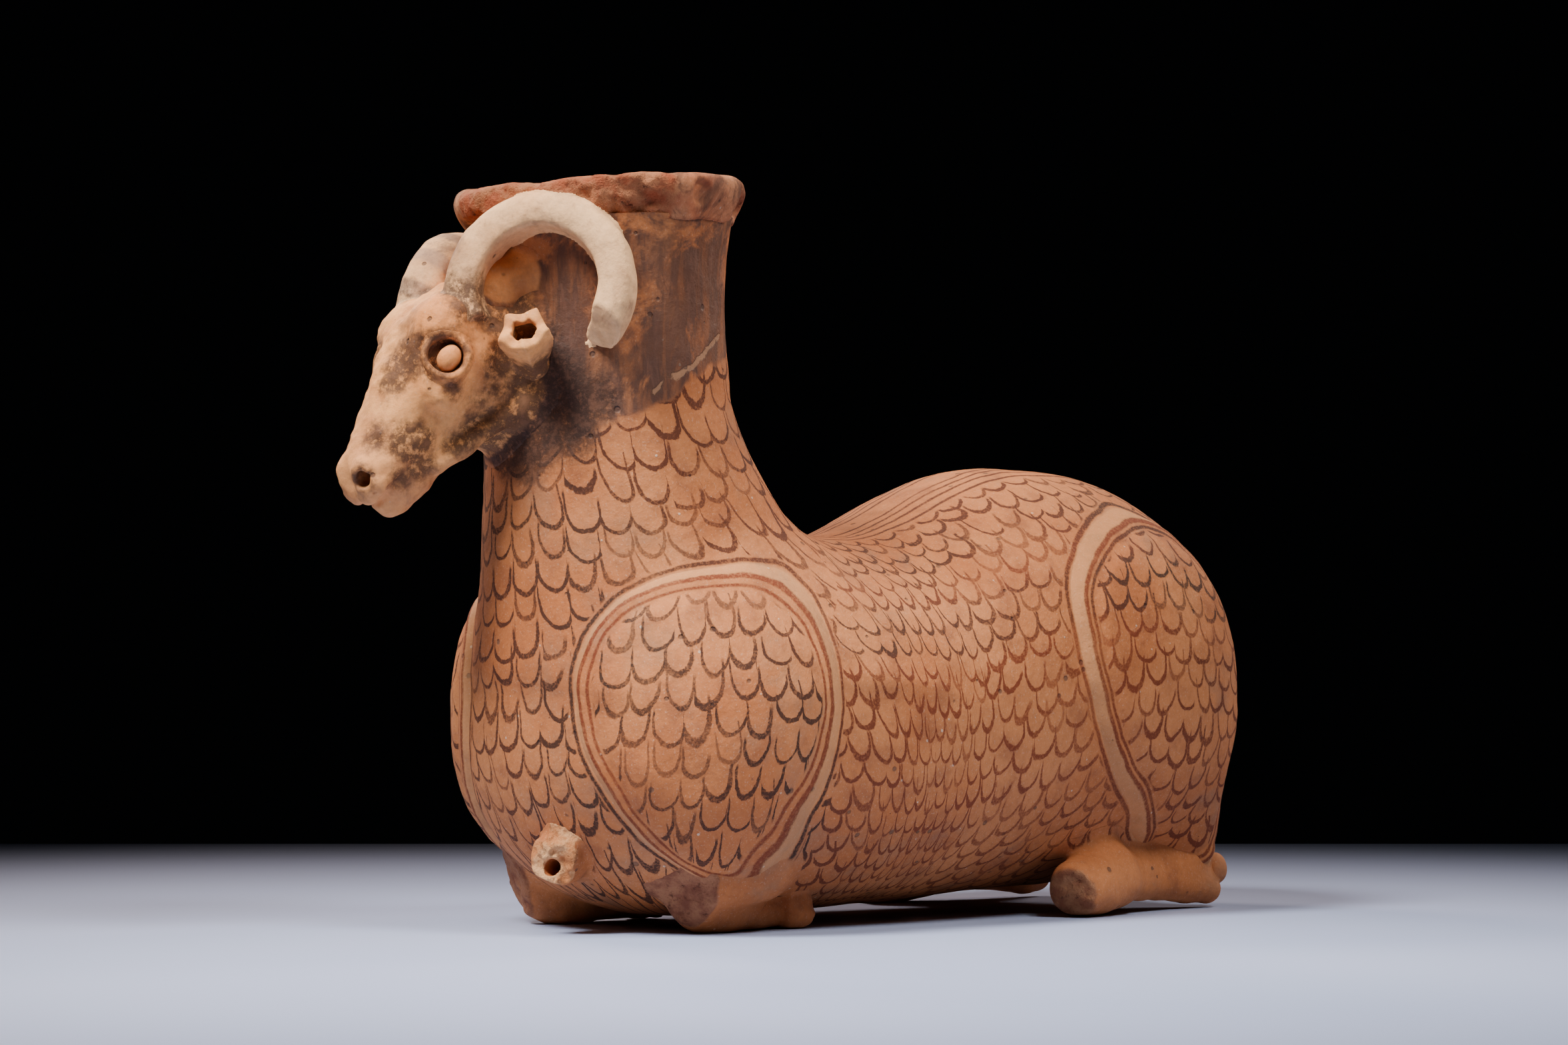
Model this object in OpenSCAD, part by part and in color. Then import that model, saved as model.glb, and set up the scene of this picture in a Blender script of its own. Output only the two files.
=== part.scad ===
// Ram-shaped askos: a hollow clay pouring vessel in the form of a lying ram.
// The pieces are formed one by one and luted together before firing.
// The ram looks along -Y, its left side is +X, and it stands on z = 0. Millimetres.

/* [Body] */
// Length of the hollow body, from the chest front to the end of the rump
body_length = 291; // [278:1:304]
// Width of the barrel
body_width = 144; // [134:1:154]
// Thickness of the clay wall of the body
wall = 7; // [5:0.5:9]
// Height of the back at the saddle, behind the neck
saddle_height = 129; // [122:1:136]
// Height of the hump over the hind legs
hump_height = 154; // [146:1:162]
// Clear height under the belly behind the forelegs
belly_gap = 3; // [2:0.5:5]
// Clear height under the belly at the hind legs
rear_belly_gap = 9; // [6:0.5:10]
// Depth of the rounded chest
chest_depth = 62; // [54:1:70]
// Depth of the rounded rump
rump_depth = 74; // [60:1:90]
// Distance from the chest front to the seam between chest and barrel
chest_seam = 126; // [122:1:135]
// Distance from the rump end to the seam between barrel and rump
rump_seam = 84; // [78:1:95]

/* [Neck] */
// Outer radius of the neck at its narrowest
neck_r = 38.5; // [36.5:0.5:41]
// Radius of the bore that the vessel is filled and poured through
bore_r = 33; // [28:0.5:34]
// Height of the seam between the flared collar and the neck
neck_seam = 171; // [165:1:176]
// Length of the neck from that seam to the lip
neck_length = 56; // [50:1:60]
// How much the collar widens towards the back, at the level of the back
collar_flare = 21; // [16:1:25]
// How much the collar widens towards each flank
side_flare = 13; // [9:0.5:15]
// Forward lean of the neck in degrees
neck_lean = 3; // [0:0.5:5]
// Outer radius of the everted lip
lip_r = 47; // [45:0.5:51]
// Height of the lip
lip_height = 13; // [10:0.5:16]
// Depth of the breaks in the front of the lip
lip_chip = 2.2; // [1:0.1:3]

/* [Head] */
// Length of the face from the poll to the muzzle
head_length = 76; // [71:0.5:82]
// Depth of the head from the face line to the throat
head_depth = 38; // [35:0.5:41]
// Width of the head across the eyes
head_width = 43; // [40:0.5:48]
// Slope of the face below the horizontal in degrees
face_slope = 58; // [54:1:62]
// Turn of the head to its right in degrees
head_turn = 11; // [0:1:14]
// Height of the poll above the neck seam
poll_rise = 40; // [36:0.5:44]
// Distance from the neck to the poll
poll_reach = 8.5; // [6.5:0.5:11]
// Radius of the eye pellets
eye_r = 3.6; // [2.5:0.1:4]
// Radius of the eyelid coil, measured to its middle
eyelid_r = 5.3; // [4.8:0.1:6.5]
// Thickness of the eyelid coil
eyelid_t = 2.4; // [1.8:0.1:3.2]
// Radius of the nostril holes
nostril_r = 2; // [1.2:0.1:2.6]
// Length of an ear
ear_length = 22; // [19:0.5:26]
// Radius of an ear at its open end
ear_r = 7.6; // [6.5:0.1:9]
// Radius of the hollow in an ear
ear_bore = 4.2; // [3:0.1:5]

/* [Horns] */
// Radius of the horn curl, measured to the middle of the roll
horn_curl = 23.5; // [21:0.5:25]
// Width of the rolled horn across the curl
horn_width = 15.5; // [12:0.5:17]
// Thickness of the rolled horn in the plane of the curl
horn_thick = 14.5; // [11:0.5:16]
// Outward turn of the horn plane in degrees
horn_splay = 39; // [34:1:43]
// Inward lean of the top of the horn in degrees
horn_lean = 6; // [0:1:12]
// How much lower the right horn sits than the left
horn_offset = 7; // [0:0.5:8]
// How much further forward the right horn sits than the left
right_horn_lead = 3; // [0:0.5:8]

/* [Legs] */
// Distance between the middles of the forelegs
fore_spacing = 66; // [60:1:74]
// Distance from the chest front back to the foreleg knees
fore_reach = 52; // [48:1:58]
// How much further forward the right foreleg reaches than the left
right_fore_lead = 9; // [0:1:15]
// Length of the folded lower foreleg on the ground
fore_shank = 38; // [34:1:44]
// Radius of the foreleg stub
fore_r = 10.5; // [9:0.5:12]
// Distance between the middles of the hind knees
hind_spacing = 108; // [100:1:114]
// Distance from the rump end forward to the hind knees
hind_reach = 94; // [88:1:100]
// Length of the folded lower hind leg on the ground
hind_shank = 76; // [70:1:82]
// Radius of the hind knee
hind_r = 10; // [9:0.5:12]
// Radius of the clay pellet on each hock
hock_r = 3.6; // [2.8:0.1:4.6]
// How far the shoulder and haunch pads stand proud
pad_proud = 4; // [2.5:0.5:5.5]

/* [Spout and tail] */
// Outer radius of the broken spout on the chest
spout_r = 7.5; // [6:0.5:9]
// Radius of the outlet bored through the spout and the chest
outlet_r = 2.4; // [1.5:0.1:3]
// Height of the spout above the ground
spout_height = 24; // [20:0.5:30]
// Distance of the spout from the middle of the chest, to the ram's left
spout_side = 8; // [0:0.5:10]
// Length of the tail strip
tail_length = 62; // [50:1:70]
// Width of the tail strip
tail_width = 15; // [11:0.5:20]
// Thickness of the tail strip
tail_thick = 3; // [2:0.5:5]

/* [Hidden] */

SALMON = [0.80, 0.60, 0.46];
BUFF = [0.84, 0.70, 0.58];
DARK = [0.36, 0.27, 0.22];
FRACTURE = [0.70, 0.40, 0.28];

// The neck rises flush with the chest, a little in front of it
neck_gap = 1;
flare_drop = 75;
function flare(z) = let (t = max(0, neck_seam + 19 - z) / flare_drop) t * t;
neck_seam_r = neck_r + collar_flare * flare(neck_seam);

poll_height = neck_seam + poll_rise;

// How far the muzzle reaches in front of the chest; it sets the middle of the length
muzzle_reach = neck_seam_r + poll_reach + head_length * cos(face_slope);
lip_round = 0.6;
muzzle_front = neck_gap - neck_seam_r + muzzle_reach * cos(head_turn) + 0.21 * head_width * sin(head_turn)
    + lip_round;
total_length = body_length + muzzle_front + tail_thick;
front_y = muzzle_front - total_length / 2;
rear_y = total_length / 2 - tail_thick;
neck_front = front_y - neck_gap;
seam_chest_y = front_y + chest_seam;
seam_rump_y = rear_y - rump_seam;
far = 2 * body_length;

function signed_power(v, p) = sign(v) * pow(abs(v), p);
function ease(t) = t <= 0 ? 0 : t >= 1 ? 1 : t * t * (3 - 2 * t);
function mix(a, b, t) = a + (b - a) * t;

// Catmull-Rom curve through the rows of a table, t from 0 to the last row
function row(table, i) = table[max(0, min(len(table) - 1, i))];
function curve(table, t) =
    let (i = min(len(table) - 2, floor(t)), u = t - i)
    let (a = row(table, i - 1), b = row(table, i), c = row(table, i + 1), d = row(table, i + 2))
    0.5 * (2 * b + (c - a) * u + (2 * a - 5 * b + 4 * c - d) * u * u + (3 * b - a - 3 * c + d) * u * u * u);

// Closed skin over a list of rings that all have the same number of points
module skin(rings) {
    n = len(rings[0]);
    m = len(rings);
    sides = [for (j = [0 : m - 2]) for (i = [0 : n - 1]) each [
        [j * n + i, j * n + (i + 1) % n, (j + 1) * n + i],
        [j * n + (i + 1) % n, (j + 1) * n + (i + 1) % n, (j + 1) * n + i]
    ]];
    first = [for (i = [n - 1 : -1 : 0]) i];
    last = [for (i = [0 : n - 1]) (m - 1) * n + i];
    polyhedron(points = [for (r = rings) each r], faces = concat([first], sides, [last]));
}

// Height of the back along the body, and height of the belly
function back_z(y) =
    let (u = (y - front_y) / (rear_y - front_y))
    mix(saddle_height, hump_height, ease((u - 0.42) / 0.28)) - 9 * ease((u - 0.74) / 0.30);
function belly_z(y) =
    let (u = (y - front_y) / (rear_y - front_y))
    mix(belly_gap, rear_belly_gap, ease((u - 0.35) / 0.45)) - 5 * ease((u - 0.82) / 0.2);

// Body solid, shrunk by inset on every side: round sections along Y, domed at both ends
body_sides = 40;
cap_steps = 9;
mid_steps = 12;
chest_dome = 2.05;
rump_dome = 2.4;
function cap_angle(i) = mix(3, 90, i / cap_steps);
function body_stations(inset) = concat(
    [for (i = [0 : cap_steps - 1]) let (a = cap_angle(i))
        [front_y + inset + (chest_depth - inset) * (1 - pow(cos(a), 2 / chest_dome)), pow(sin(a), 2 / chest_dome)]],
    [for (i = [0 : mid_steps])
        [mix(front_y + chest_depth, rear_y - rump_depth, i / mid_steps), 1]],
    [for (i = [cap_steps - 1 : -1 : 0]) let (a = cap_angle(i))
        [rear_y - inset - (rump_depth - inset) * (1 - pow(cos(a), 2 / rump_dome)), pow(sin(a), 2 / rump_dome)]]
);
function body_ring(y, s, inset) =
    let (top = back_z(y) - inset, low = belly_z(y) + inset, mid = (top + low) / 2)
    [for (i = [0 : body_sides - 1]) let (a = 360 * i / body_sides) [
        (body_width / 2 - inset) * s * signed_power(cos(a), 0.93),
        y,
        mid + (top - low) / 2 * s * signed_power(sin(a), 0.93)
    ]];
module body_form(inset = 0) {
    skin([for (p = body_stations(inset)) body_ring(p[0], p[1], inset)]);
}

// Collar solid: rises from inside the chest to the neck seam and widens downwards
// The collar is luted to the chest along a seam that rises towards the back
collar_seam_front = neck_seam - 59;
collar_seam_slope = 12;
collar_foot = collar_seam_front - 34;
collar_steps = 14;
collar_sides = 48;
function collar_ring(z, inset) =
    let (rx = neck_r + side_flare * flare(z) - inset, ry = neck_r + collar_flare * flare(z) - inset)
    let (front = neck_front + 5 * ease((collar_seam_front - 4 - z) / 40))
    [for (i = [0 : collar_sides - 1]) let (a = 360 * i / collar_sides)
        [rx * cos(a), front + inset + ry + ry * sin(a), z]];
module collar_form(inset = 0) {
    top = neck_seam + 12;
    skin([for (i = [0 : collar_steps]) collar_ring(mix(top, collar_foot + inset, i / collar_steps), inset)]);
}

// The axis of the neck leans forward from the middle of the neck seam
neck_y = neck_front + neck_seam_r;
module on_neck() {
    translate([0, neck_y, neck_seam]) rotate([neck_lean, 0, 0]) children();
}
module above_neck_seam() {
    on_neck() translate([-far / 2, -far / 2, 0]) cube(far);
}
module above_collar_seam() {
    translate([0, neck_front, collar_seam_front]) rotate([collar_seam_slope, 0, 0])
        translate([-far / 2, -far / 2, 0]) cube(far);
}
module between_y(y0, y1) {
    translate([-far / 2, y0, -far / 2]) cube([far, y1 - y0, far]);
}

// Outlet hole that runs from the spout into the body, and how far the broken spout stands out
spout_stub = 6;
chest_mid = (saddle_height + belly_gap) / 2;
chest_half = (saddle_height - belly_gap) / 2;
spout_rise = pow((chest_mid - spout_height) / chest_half, chest_dome);
spout_y = front_y + chest_depth * (1 - pow(1 - spout_rise, 1 / chest_dome));
module outlet() {
    translate([spout_side, spout_y - 14, spout_height - 3]) rotate([-90, 0, 0])
        cylinder(r = outlet_r, h = 40, $fn = 32);
}

module chest_wall() {
    color(SALMON) difference() {
        union() {
            intersection() {
                body_form();
                between_y(front_y - 10, seam_chest_y);
            }
            intersection() {
                collar_form();
                between_y(front_y - 10, seam_chest_y);
            }
        }
        body_form(wall);
        collar_form(wall);
        above_collar_seam();
        outlet();
    }
}

module barrel_wall() {
    color(SALMON) difference() {
        intersection() {
            body_form();
            between_y(seam_chest_y, seam_rump_y);
        }
        body_form(wall);
    }
}

module rump_wall() {
    color(SALMON) difference() {
        intersection() {
            body_form();
            between_y(seam_rump_y, rear_y + 10);
        }
        body_form(wall);
    }
}

module collar() {
    color(SALMON) difference() {
        intersection() {
            collar_form();
            above_collar_seam();
        }
        collar_form(wall);
        above_neck_seam();
    }
}

// Neck tube, thrown: a slightly waisted wall round a true bore
module neck_outline() {
    polygon([
        [0, 0], [neck_seam_r, 0],
        for (i = [1 : 8]) let (t = i / 8)
            [neck_r + (neck_seam_r - neck_r) * (1 - t) * (1 - t) + 4 * pow(t, 4), neck_length * t],
        [0, neck_length]
    ]);
}
module neck_form() {
    on_neck() rotate_extrude($fn = 96) neck_outline();
}
module neck() {
    color(DARK) difference() {
        neck_form();
        on_neck() translate([0, 0, -1]) cylinder(r = bore_r, h = neck_length + 2, $fn = 96);
    }
}

// Everted lip, with the breaks along the front of its edge
lip_base_r = neck_r + 4;
mouth_round = 2.5;
module lip_form(r_inside) {
    rotate_extrude($fn = 96) polygon([
        [r_inside, 0], [lip_base_r, 0], [lip_r - 0.8, lip_height * 0.36], [lip_r, lip_height * 0.6],
        [lip_r - 1, lip_height * 0.86], [lip_r - 3.5, lip_height], [r_inside + mouth_round, lip_height],
        [r_inside, lip_height - mouth_round]
    ]);
}
module on_lip() {
    on_neck() translate([0, 0, neck_length]) children();
}
module lip() {
    color(FRACTURE) on_lip() difference() {
        lip_form(bore_r);
        for (i = [0 : 4]) let (a = -118 + 25 * i, d = lip_chip * (0.8 + 0.2 * sin(211 * i)))
            rotate(a) translate([lip_r - d, -8, lip_height * 0.32]) rotate([0, 12 + 6 * sin(97 * i), 0])
                cube([12, 15, lip_height * 0.4]);
    }
}

// Broken stub of the small spout in the middle of the chest
module chest_spout() {
    color(FRACTURE) difference() {
        hull() {
            translate([spout_side, spout_y + 4, spout_height + 1]) sphere(r = spout_r, $fn = 28);
            translate([spout_side + 1, spout_y - 2.5, spout_height]) sphere(r = spout_r * 0.72, $fn = 28);
        }
        body_form();
        collar_form();
        outlet();
        translate([spout_side, spout_y - spout_stub, spout_height]) rotate([12, 0, 0])
            in_front_of_break();
    }
}

// Head: it faces -Y and is then turned about the middle of the neck. Rows run from
// the back of the head to the lips, in shares of the length and depth of the face
face_line = [[-0.2, 0.42], [0.02, 0.02], [0.18, -0.14], [0.36, -0.23], [0.55, -0.23], [0.73, -0.2],
    [0.85, -0.15], [0.985, -0.06], [1.045, 0.06], [1.065, 0.18]];
jaw_line = [[0.40, 1.45], [0.55, 1.05], [0.62, 0.8], [0.70, 0.69], [0.78, 0.64], [0.86, 0.62],
    [0.94, 0.6], [1.01, 0.58], [1.045, 0.53], [1.055, 0.46]];
half_width = [0.84, 0.88, 0.98, 0.98, 0.84, 0.66, 0.56, 0.54, 0.44, 0.28];
head_sides = 28;
head_steps = 24;
poll_y = -neck_seam_r - poll_reach;
module on_head() {
    translate([0, neck_y, 0]) rotate([0, 0, -head_turn]) children();
}
// A point of the head's middle plane, given along the face and square to it
function on_face(s, d) = [
    poll_y - s * head_length * cos(face_slope) + d * head_depth * sin(face_slope),
    poll_height - s * head_length * sin(face_slope) - d * head_depth * cos(face_slope)
];
function head_ring(t) =
    let (f = curve(face_line, t), j = curve(jaw_line, t), w = curve(half_width, t) * head_width / 2)
    let (top = on_face(f[0], f[1]), low = on_face(j[0], j[1]), mid = (top + low) / 2, up = (top - low) / 2)
    [for (i = [0 : head_sides - 1]) let (a = -360 * i / head_sides) [
        w * signed_power(cos(a), 0.85) * (1 + 0.1 * sin(a)),
        mid[0] + up[0] * signed_power(sin(a), 0.9),
        mid[1] + up[1] * signed_power(sin(a), 0.9)
    ]];
module head_form() {
    on_head() skin([for (i = [0 : head_steps]) head_ring((len(face_line) - 1) * i / head_steps)]);
}
// Turns the z axis of its children from point a towards point b
module aim(a, b) {
    v = b - a;
    translate(a) rotate([0, acos(v[2] / norm(v)), atan2(v[1], v[0])]) children();
}
module nostril(side) {
    at = on_face(1.0, 0.16);
    on_head() aim([side * head_width * 0.19, at[0] + 2, at[1]], [side * head_width * 0.36, at[0] - 6, at[1] + 1])
        cylinder(r = nostril_r, h = 20, $fn = 24);
}
// Mouth line: a shallow slit that runs up the cheek from the lips
module mouth_slit(side) {
    low = on_face(1.045, 0.44);
    high = on_face(0.88, 0.46);
    on_head() hull() for (end = [[0.08, low], [0.3, low], [0.22, high], [0.33, high]])
        translate([side * head_width * end[0], end[1][0], end[1][1]]) sphere(r = 1, $fn = 10);
}
module head() {
    color(BUFF) difference() {
        head_form();
        collar_form();
        neck_form();
        for (side = [-1, 1]) {
            nostril(side);
            mouth_slit(side);
        }
    }
}

// Lump of clay that ties the head to the neck, behind the root of the left horn
bridge_r = 0.2 * head_width;
module poll_bridge_form() {
    on_head() hull() {
        for (p = [[0.28, 0.09, -0.09], [-0.09, 0.14, -0.19], [0.37, 0.3, -0.02]])
            translate([0, poll_y, poll_height] + head_width * p) sphere(r = bridge_r, $fn = 24);
    }
}
module poll_bridge() {
    color(BUFF) difference() {
        poll_bridge_form();
        head_form();
        neck_form();
        horn_form(1);
        horn_form(-1);
    }
}

// Horns: a roll of clay bent round an arc in a plane that turns outwards
horn_from = 208;
horn_to = [-34, 20];
horn_steps = 18;
horn_sides = 14;
horn_out = 0.663 * head_width;
horn_back = 0.468 * horn_curl;
horn_drop = 0.362 * horn_curl;
function horn_along(side) = [side * sin(horn_splay), cos(horn_splay), 0];
function horn_up(side) =
    [-side * cos(horn_splay) * sin(horn_lean), sin(horn_splay) * sin(horn_lean), cos(horn_lean)];
function horn_normal(side) = cross(horn_along(side), horn_up(side));
function horn_middle(side) =
    side > 0 ? [horn_out, poll_y + horn_back, poll_height - horn_drop]
        : [-horn_out - 2, poll_y + horn_back - right_horn_lead, poll_height - horn_drop - horn_offset];
function horn_ring(side, phi) =
    let (radial = cos(phi) * horn_along(side) + sin(phi) * horn_up(side))
    let (grow = mix(0.92, 1.02, ease((phi + 30) / 200)))
    [for (i = [0 : horn_sides - 1]) let (a = -360 * i / horn_sides)
        horn_middle(side) + radial * (horn_curl + horn_thick / 2 * grow * signed_power(cos(a), 0.85))
            + horn_normal(side) * horn_width / 2 * grow * signed_power(sin(a), 0.85)];
module horn_form(side) {
    last = horn_to[side > 0 ? 0 : 1];
    on_head() skin([for (i = [0 : horn_steps]) horn_ring(side, mix(horn_from, last, i / horn_steps))]);
}
module horn(side) {
    color(BUFF) difference() {
        horn_form(side);
        head_form();
        neck_form();
        collar_form();
        on_lip() lip_form(lip_r / 2);
    }
}

// Ears: short hollow cones behind the eyes, turned outwards, forwards and up
module ear_place(side) {
    root = on_face(0.3, 0.84);
    on_head() aim([side * head_width * 0.42, root[0], root[1]],
        [side * head_width * 0.42 + side * 13, root[0] - 11, root[1] + 11]) children();
}
module ear(side) {
    color(BUFF) difference() {
        ear_place(side) difference() {
            translate([0, 0, -5]) cylinder(r1 = ear_r * 1.1, r2 = ear_r, h = ear_length + 5, $fn = 32);
            translate([0, 0, ear_length - 12]) cylinder(r = ear_bore, h = 13, $fn = 32);
        }
        head_form();
        collar_form();
        neck_form();
        horn_form(side);
    }
}

// Eyes: a pellet inside a coil, pressed on the side of the head
module eye_place(side) {
    at = on_face(0.446, 0.05);
    on_head() aim([side * head_width * 0.48, at[0], at[1]],
        [side * head_width * 0.48 + side * 9, at[0] - 4, at[1] + 1]) children();
}
module eyelid_form(side) {
    eye_place(side) rotate_extrude($fn = 40) translate([eyelid_r, 0])
        scale([eyelid_t / 2, eyelid_t * 0.8]) circle(r = 1, $fn = 20);
}
module eyelid(side) {
    color(BUFF) difference() {
        eyelid_form(side);
        head_form();
        horn_form(side);
    }
}
module eye(side) {
    color(BUFF) difference() {
        eye_place(side) sphere(r = eye_r, $fn = 32);
        head_form();
        eyelid_form(side);
        horn_form(side);
    }
}

// Right-hand pieces mirror the left-hand ones
module sided(side) {
    mirror([side < 0 ? 1 : 0, 0, 0]) children();
}
module below_ground() {
    translate([-far / 2, -far / 2, -far]) cube(far);
}

// Shoulder and haunch pads: drop-shaped swellings on the flanks, pointed at the leg.
// A pad's middle is sunk by most of its depth, so that its edge runs out into the flank
pad_depth = 0.285 * body_width;
pad_tip_r = body_width / 16;
pad_tip_z = body_width / 6;
shoulder_r = 0.388 * saddle_height;
haunch_r = 0.377 * hump_height;
module shoulder_form(side) {
    sided(side) translate([0, front_y + 0.24 * body_length, 0]) rotate(-25) hull() {
        translate([body_width / 2 + pad_proud - pad_depth, 0, 0.558 * saddle_height])
            scale([pad_depth, shoulder_r, shoulder_r]) sphere(r = 1, $fn = 32);
        translate([body_width / 2 - 2 * pad_tip_r, pad_tip_r * 2 / 3, pad_tip_z]) sphere(r = pad_tip_r, $fn = 20);
    }
}
module haunch_form(side) {
    sided(side) translate([0, rear_y - 0.257 * body_length, 0]) rotate(6) hull() {
        translate([body_width / 2 + pad_proud - pad_depth, 0, 0.545 * hump_height])
            scale([pad_depth, haunch_r * 1.034, haunch_r]) sphere(r = 1, $fn = 32);
        translate([0.32 * body_width, 0.48 * haunch_r, pad_tip_z]) sphere(r = pad_tip_r, $fn = 20);
    }
}
module shoulder(side) {
    color(SALMON) difference() {
        shoulder_form(side);
        body_form();
        collar_form();
        below_ground();
    }
}
module haunch(side) {
    color(SALMON) difference() {
        haunch_form(side);
        body_form();
        below_ground();
    }
}

// Forelegs: a stub broken off at the front, a folded shank and a hoof lump on the ground
fore_x = fore_spacing / 2;
function fore_y(side) = front_y + fore_reach - (side < 0 ? right_fore_lead : 0);
hoof_r = 0.61 * fore_r;
stub_reach = 7;
stub_out = 8;
module in_front_of_break() {
    translate([-30, -40, -40]) cube([60, 40, 80]);
}
module foreleg_form(side) {
    sided(side) translate([fore_x, fore_y(side), 0]) hull() {
        translate([stub_out, 14, fore_r + 9]) sphere(r = fore_r, $fn = 24);
        translate([stub_out, -stub_reach, fore_r + 5]) sphere(r = fore_r, $fn = 24);
    }
}
// The break in front is a plane that faces forwards and a little down
module foreleg(side) {
    color(SALMON) difference() {
        foreleg_form(side);
        sided(side) translate([fore_x + stub_out, fore_y(side) - stub_reach - 3, fore_r + 5]) rotate([-14, 0, 20])
            in_front_of_break();
        body_form();
        collar_form();
        shoulder_form(side);
    }
}
module fore_shank_form(side) {
    sided(side) translate([fore_x, fore_y(side), 0]) hull() {
        translate([-2, 2, 7.2]) sphere(r = 7.6, $fn = 24);
        translate([-6, fore_shank - 2, 6]) sphere(r = 5.6, $fn = 24);
    }
}
module fore_lower(side) {
    color(SALMON) difference() {
        fore_shank_form(side);
        foreleg_form(side);
        body_form();
        shoulder_form(side);
        below_ground();
    }
}
module fore_hoof(side) {
    color(SALMON) difference() {
        sided(side) translate([fore_x - 5, fore_y(side) + fore_shank + 2, hoof_r])
            scale([1, 0.9, 1.05]) hull() sphere(r = hoof_r, $fn = 24);
        fore_shank_form(side);
        body_form();
        below_ground();
    }
}

// Hind legs: the bent knee, a shank that runs back under the rump, and a pellet at the hock
hind_y = rear_y - hind_reach;
hind_x = hind_spacing / 2;
hock_x = 44;
hock_y = hind_y + hind_shank;
module hind_knee_form(side) {
    sided(side) translate([hind_x, hind_y, 0]) hull() {
        translate([0, 0, hind_r - 0.4]) sphere(r = hind_r, $fn = 24);
        translate([-4, 18, hind_r + 4]) sphere(r = hind_r, $fn = 24);
    }
}
module hind_knee(side) {
    color(SALMON) difference() {
        hind_knee_form(side);
        sided(side) translate([hind_x, hind_y - 6, hind_r]) rotate([20, 0, 24]) in_front_of_break();
        body_form();
        haunch_form(side);
        below_ground();
    }
}
module hind_shank_form(side) {
    sided(side) hull() {
        translate([hind_x - 2, hind_y + 12, 7.5]) sphere(r = 8, $fn = 24);
        translate([hock_x - 4, hock_y - 14, 8]) sphere(r = 8.4, $fn = 24);
        translate([hock_x, hock_y - 2, 12]) sphere(r = 5, $fn = 20);
    }
}
module hind_lower(side) {
    color(SALMON) difference() {
        hind_shank_form(side);
        hind_knee_form(side);
        body_form();
        haunch_form(side);
        below_ground();
    }
}
module hock(side) {
    color(SALMON) difference() {
        sided(side) translate([hock_x + 0.5, hock_y + 4, 13]) hull() sphere(r = hock_r, $fn = 20);
        hind_shank_form(side);
        body_form();
        haunch_form(side);
    }
}

// Tail: a flat strip that lies down the middle of the rump
tail_top = back_z(rear_y) - 28;
module tail() {
    color(SALMON) difference() {
        intersection() {
            body_form(-tail_thick);
            translate([-tail_width / 2, rear_y - 40, tail_top - tail_length]) cube([tail_width, 60, tail_length]);
        }
        body_form();
    }
}

chest_wall();
barrel_wall();
rump_wall();
collar();
neck();
lip();
chest_spout();
head();
poll_bridge();
horn(1);  // left_horn
horn(-1);  // right_horn
ear(1);  // left_ear
ear(-1);  // right_ear
eyelid(1);  // left_eyelid
eyelid(-1);  // right_eyelid
eye(1);  // left_eye
eye(-1);  // right_eye
shoulder(1);  // left_shoulder
shoulder(-1);  // right_shoulder
haunch(1);  // left_haunch
haunch(-1);  // right_haunch
foreleg(1);  // left_foreleg
foreleg(-1);  // right_foreleg
fore_lower(1);  // left_fore_shank
fore_lower(-1);  // right_fore_shank
fore_hoof(1);  // left_fore_hoof
fore_hoof(-1);  // right_fore_hoof
hind_knee(1);  // left_hind_knee
hind_knee(-1);  // right_hind_knee
hind_lower(1);  // left_hind_shank
hind_lower(-1);  // right_hind_shank
hock(1);  // left_hock
hock(-1);  // right_hock
tail();
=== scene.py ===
# %% [markdown]
# # A fired clay pouring vessel in the shape of a lying ram
#
# The real pot was built by hand: a hollow body, a wide neck with a thick lip, and a
# ram's head, horns, ears and legs that were formed one by one and pressed on with wet
# clay. It was painted with rows of fish-scale strokes before firing, and has since
# lost the tips of its horns, the front of its legs and part of the lip.
#
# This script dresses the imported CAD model. It works in millimetres, in the frame of
# the model: the ram looks along -Y, its left side is +X, and it stands on z = 0.

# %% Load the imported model
import math

import bmesh
import bpy
import numpy as np
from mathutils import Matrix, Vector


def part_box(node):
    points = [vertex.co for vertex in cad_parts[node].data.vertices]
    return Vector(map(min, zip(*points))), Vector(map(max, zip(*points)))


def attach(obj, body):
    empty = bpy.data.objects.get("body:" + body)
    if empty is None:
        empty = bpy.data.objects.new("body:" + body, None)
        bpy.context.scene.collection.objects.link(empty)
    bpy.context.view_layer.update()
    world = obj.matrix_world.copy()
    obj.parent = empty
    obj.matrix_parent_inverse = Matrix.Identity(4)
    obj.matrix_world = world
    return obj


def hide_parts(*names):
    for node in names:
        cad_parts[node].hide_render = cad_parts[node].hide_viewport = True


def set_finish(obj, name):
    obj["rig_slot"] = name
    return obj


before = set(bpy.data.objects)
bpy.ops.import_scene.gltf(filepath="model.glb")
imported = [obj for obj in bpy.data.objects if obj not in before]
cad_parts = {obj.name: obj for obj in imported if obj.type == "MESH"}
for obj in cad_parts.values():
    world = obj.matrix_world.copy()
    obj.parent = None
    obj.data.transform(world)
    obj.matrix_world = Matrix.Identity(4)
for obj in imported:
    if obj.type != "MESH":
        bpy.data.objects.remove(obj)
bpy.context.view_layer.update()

import openvdb
from mathutils import Vector

MM = 0.001
SIDES = {"left": 1, "right": -1}


def node_box(node):
    """Lowest and highest corner of a CAD node, in mm."""
    low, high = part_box(node)
    return np.array(low) / MM, np.array(high) / MM


barrel_low, barrel_high = node_box("barrel_wall")
SEAM_CHEST = barrel_low[1]
SEAM_RUMP = barrel_high[1]
FRONT = SEAM_CHEST - 126
REAR = SEAM_RUMP + 84
print(f"chest front {FRONT:.1f}, rump end {REAR:.1f}, seams at {SEAM_CHEST:.1f} and {SEAM_RUMP:.1f} mm")

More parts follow.
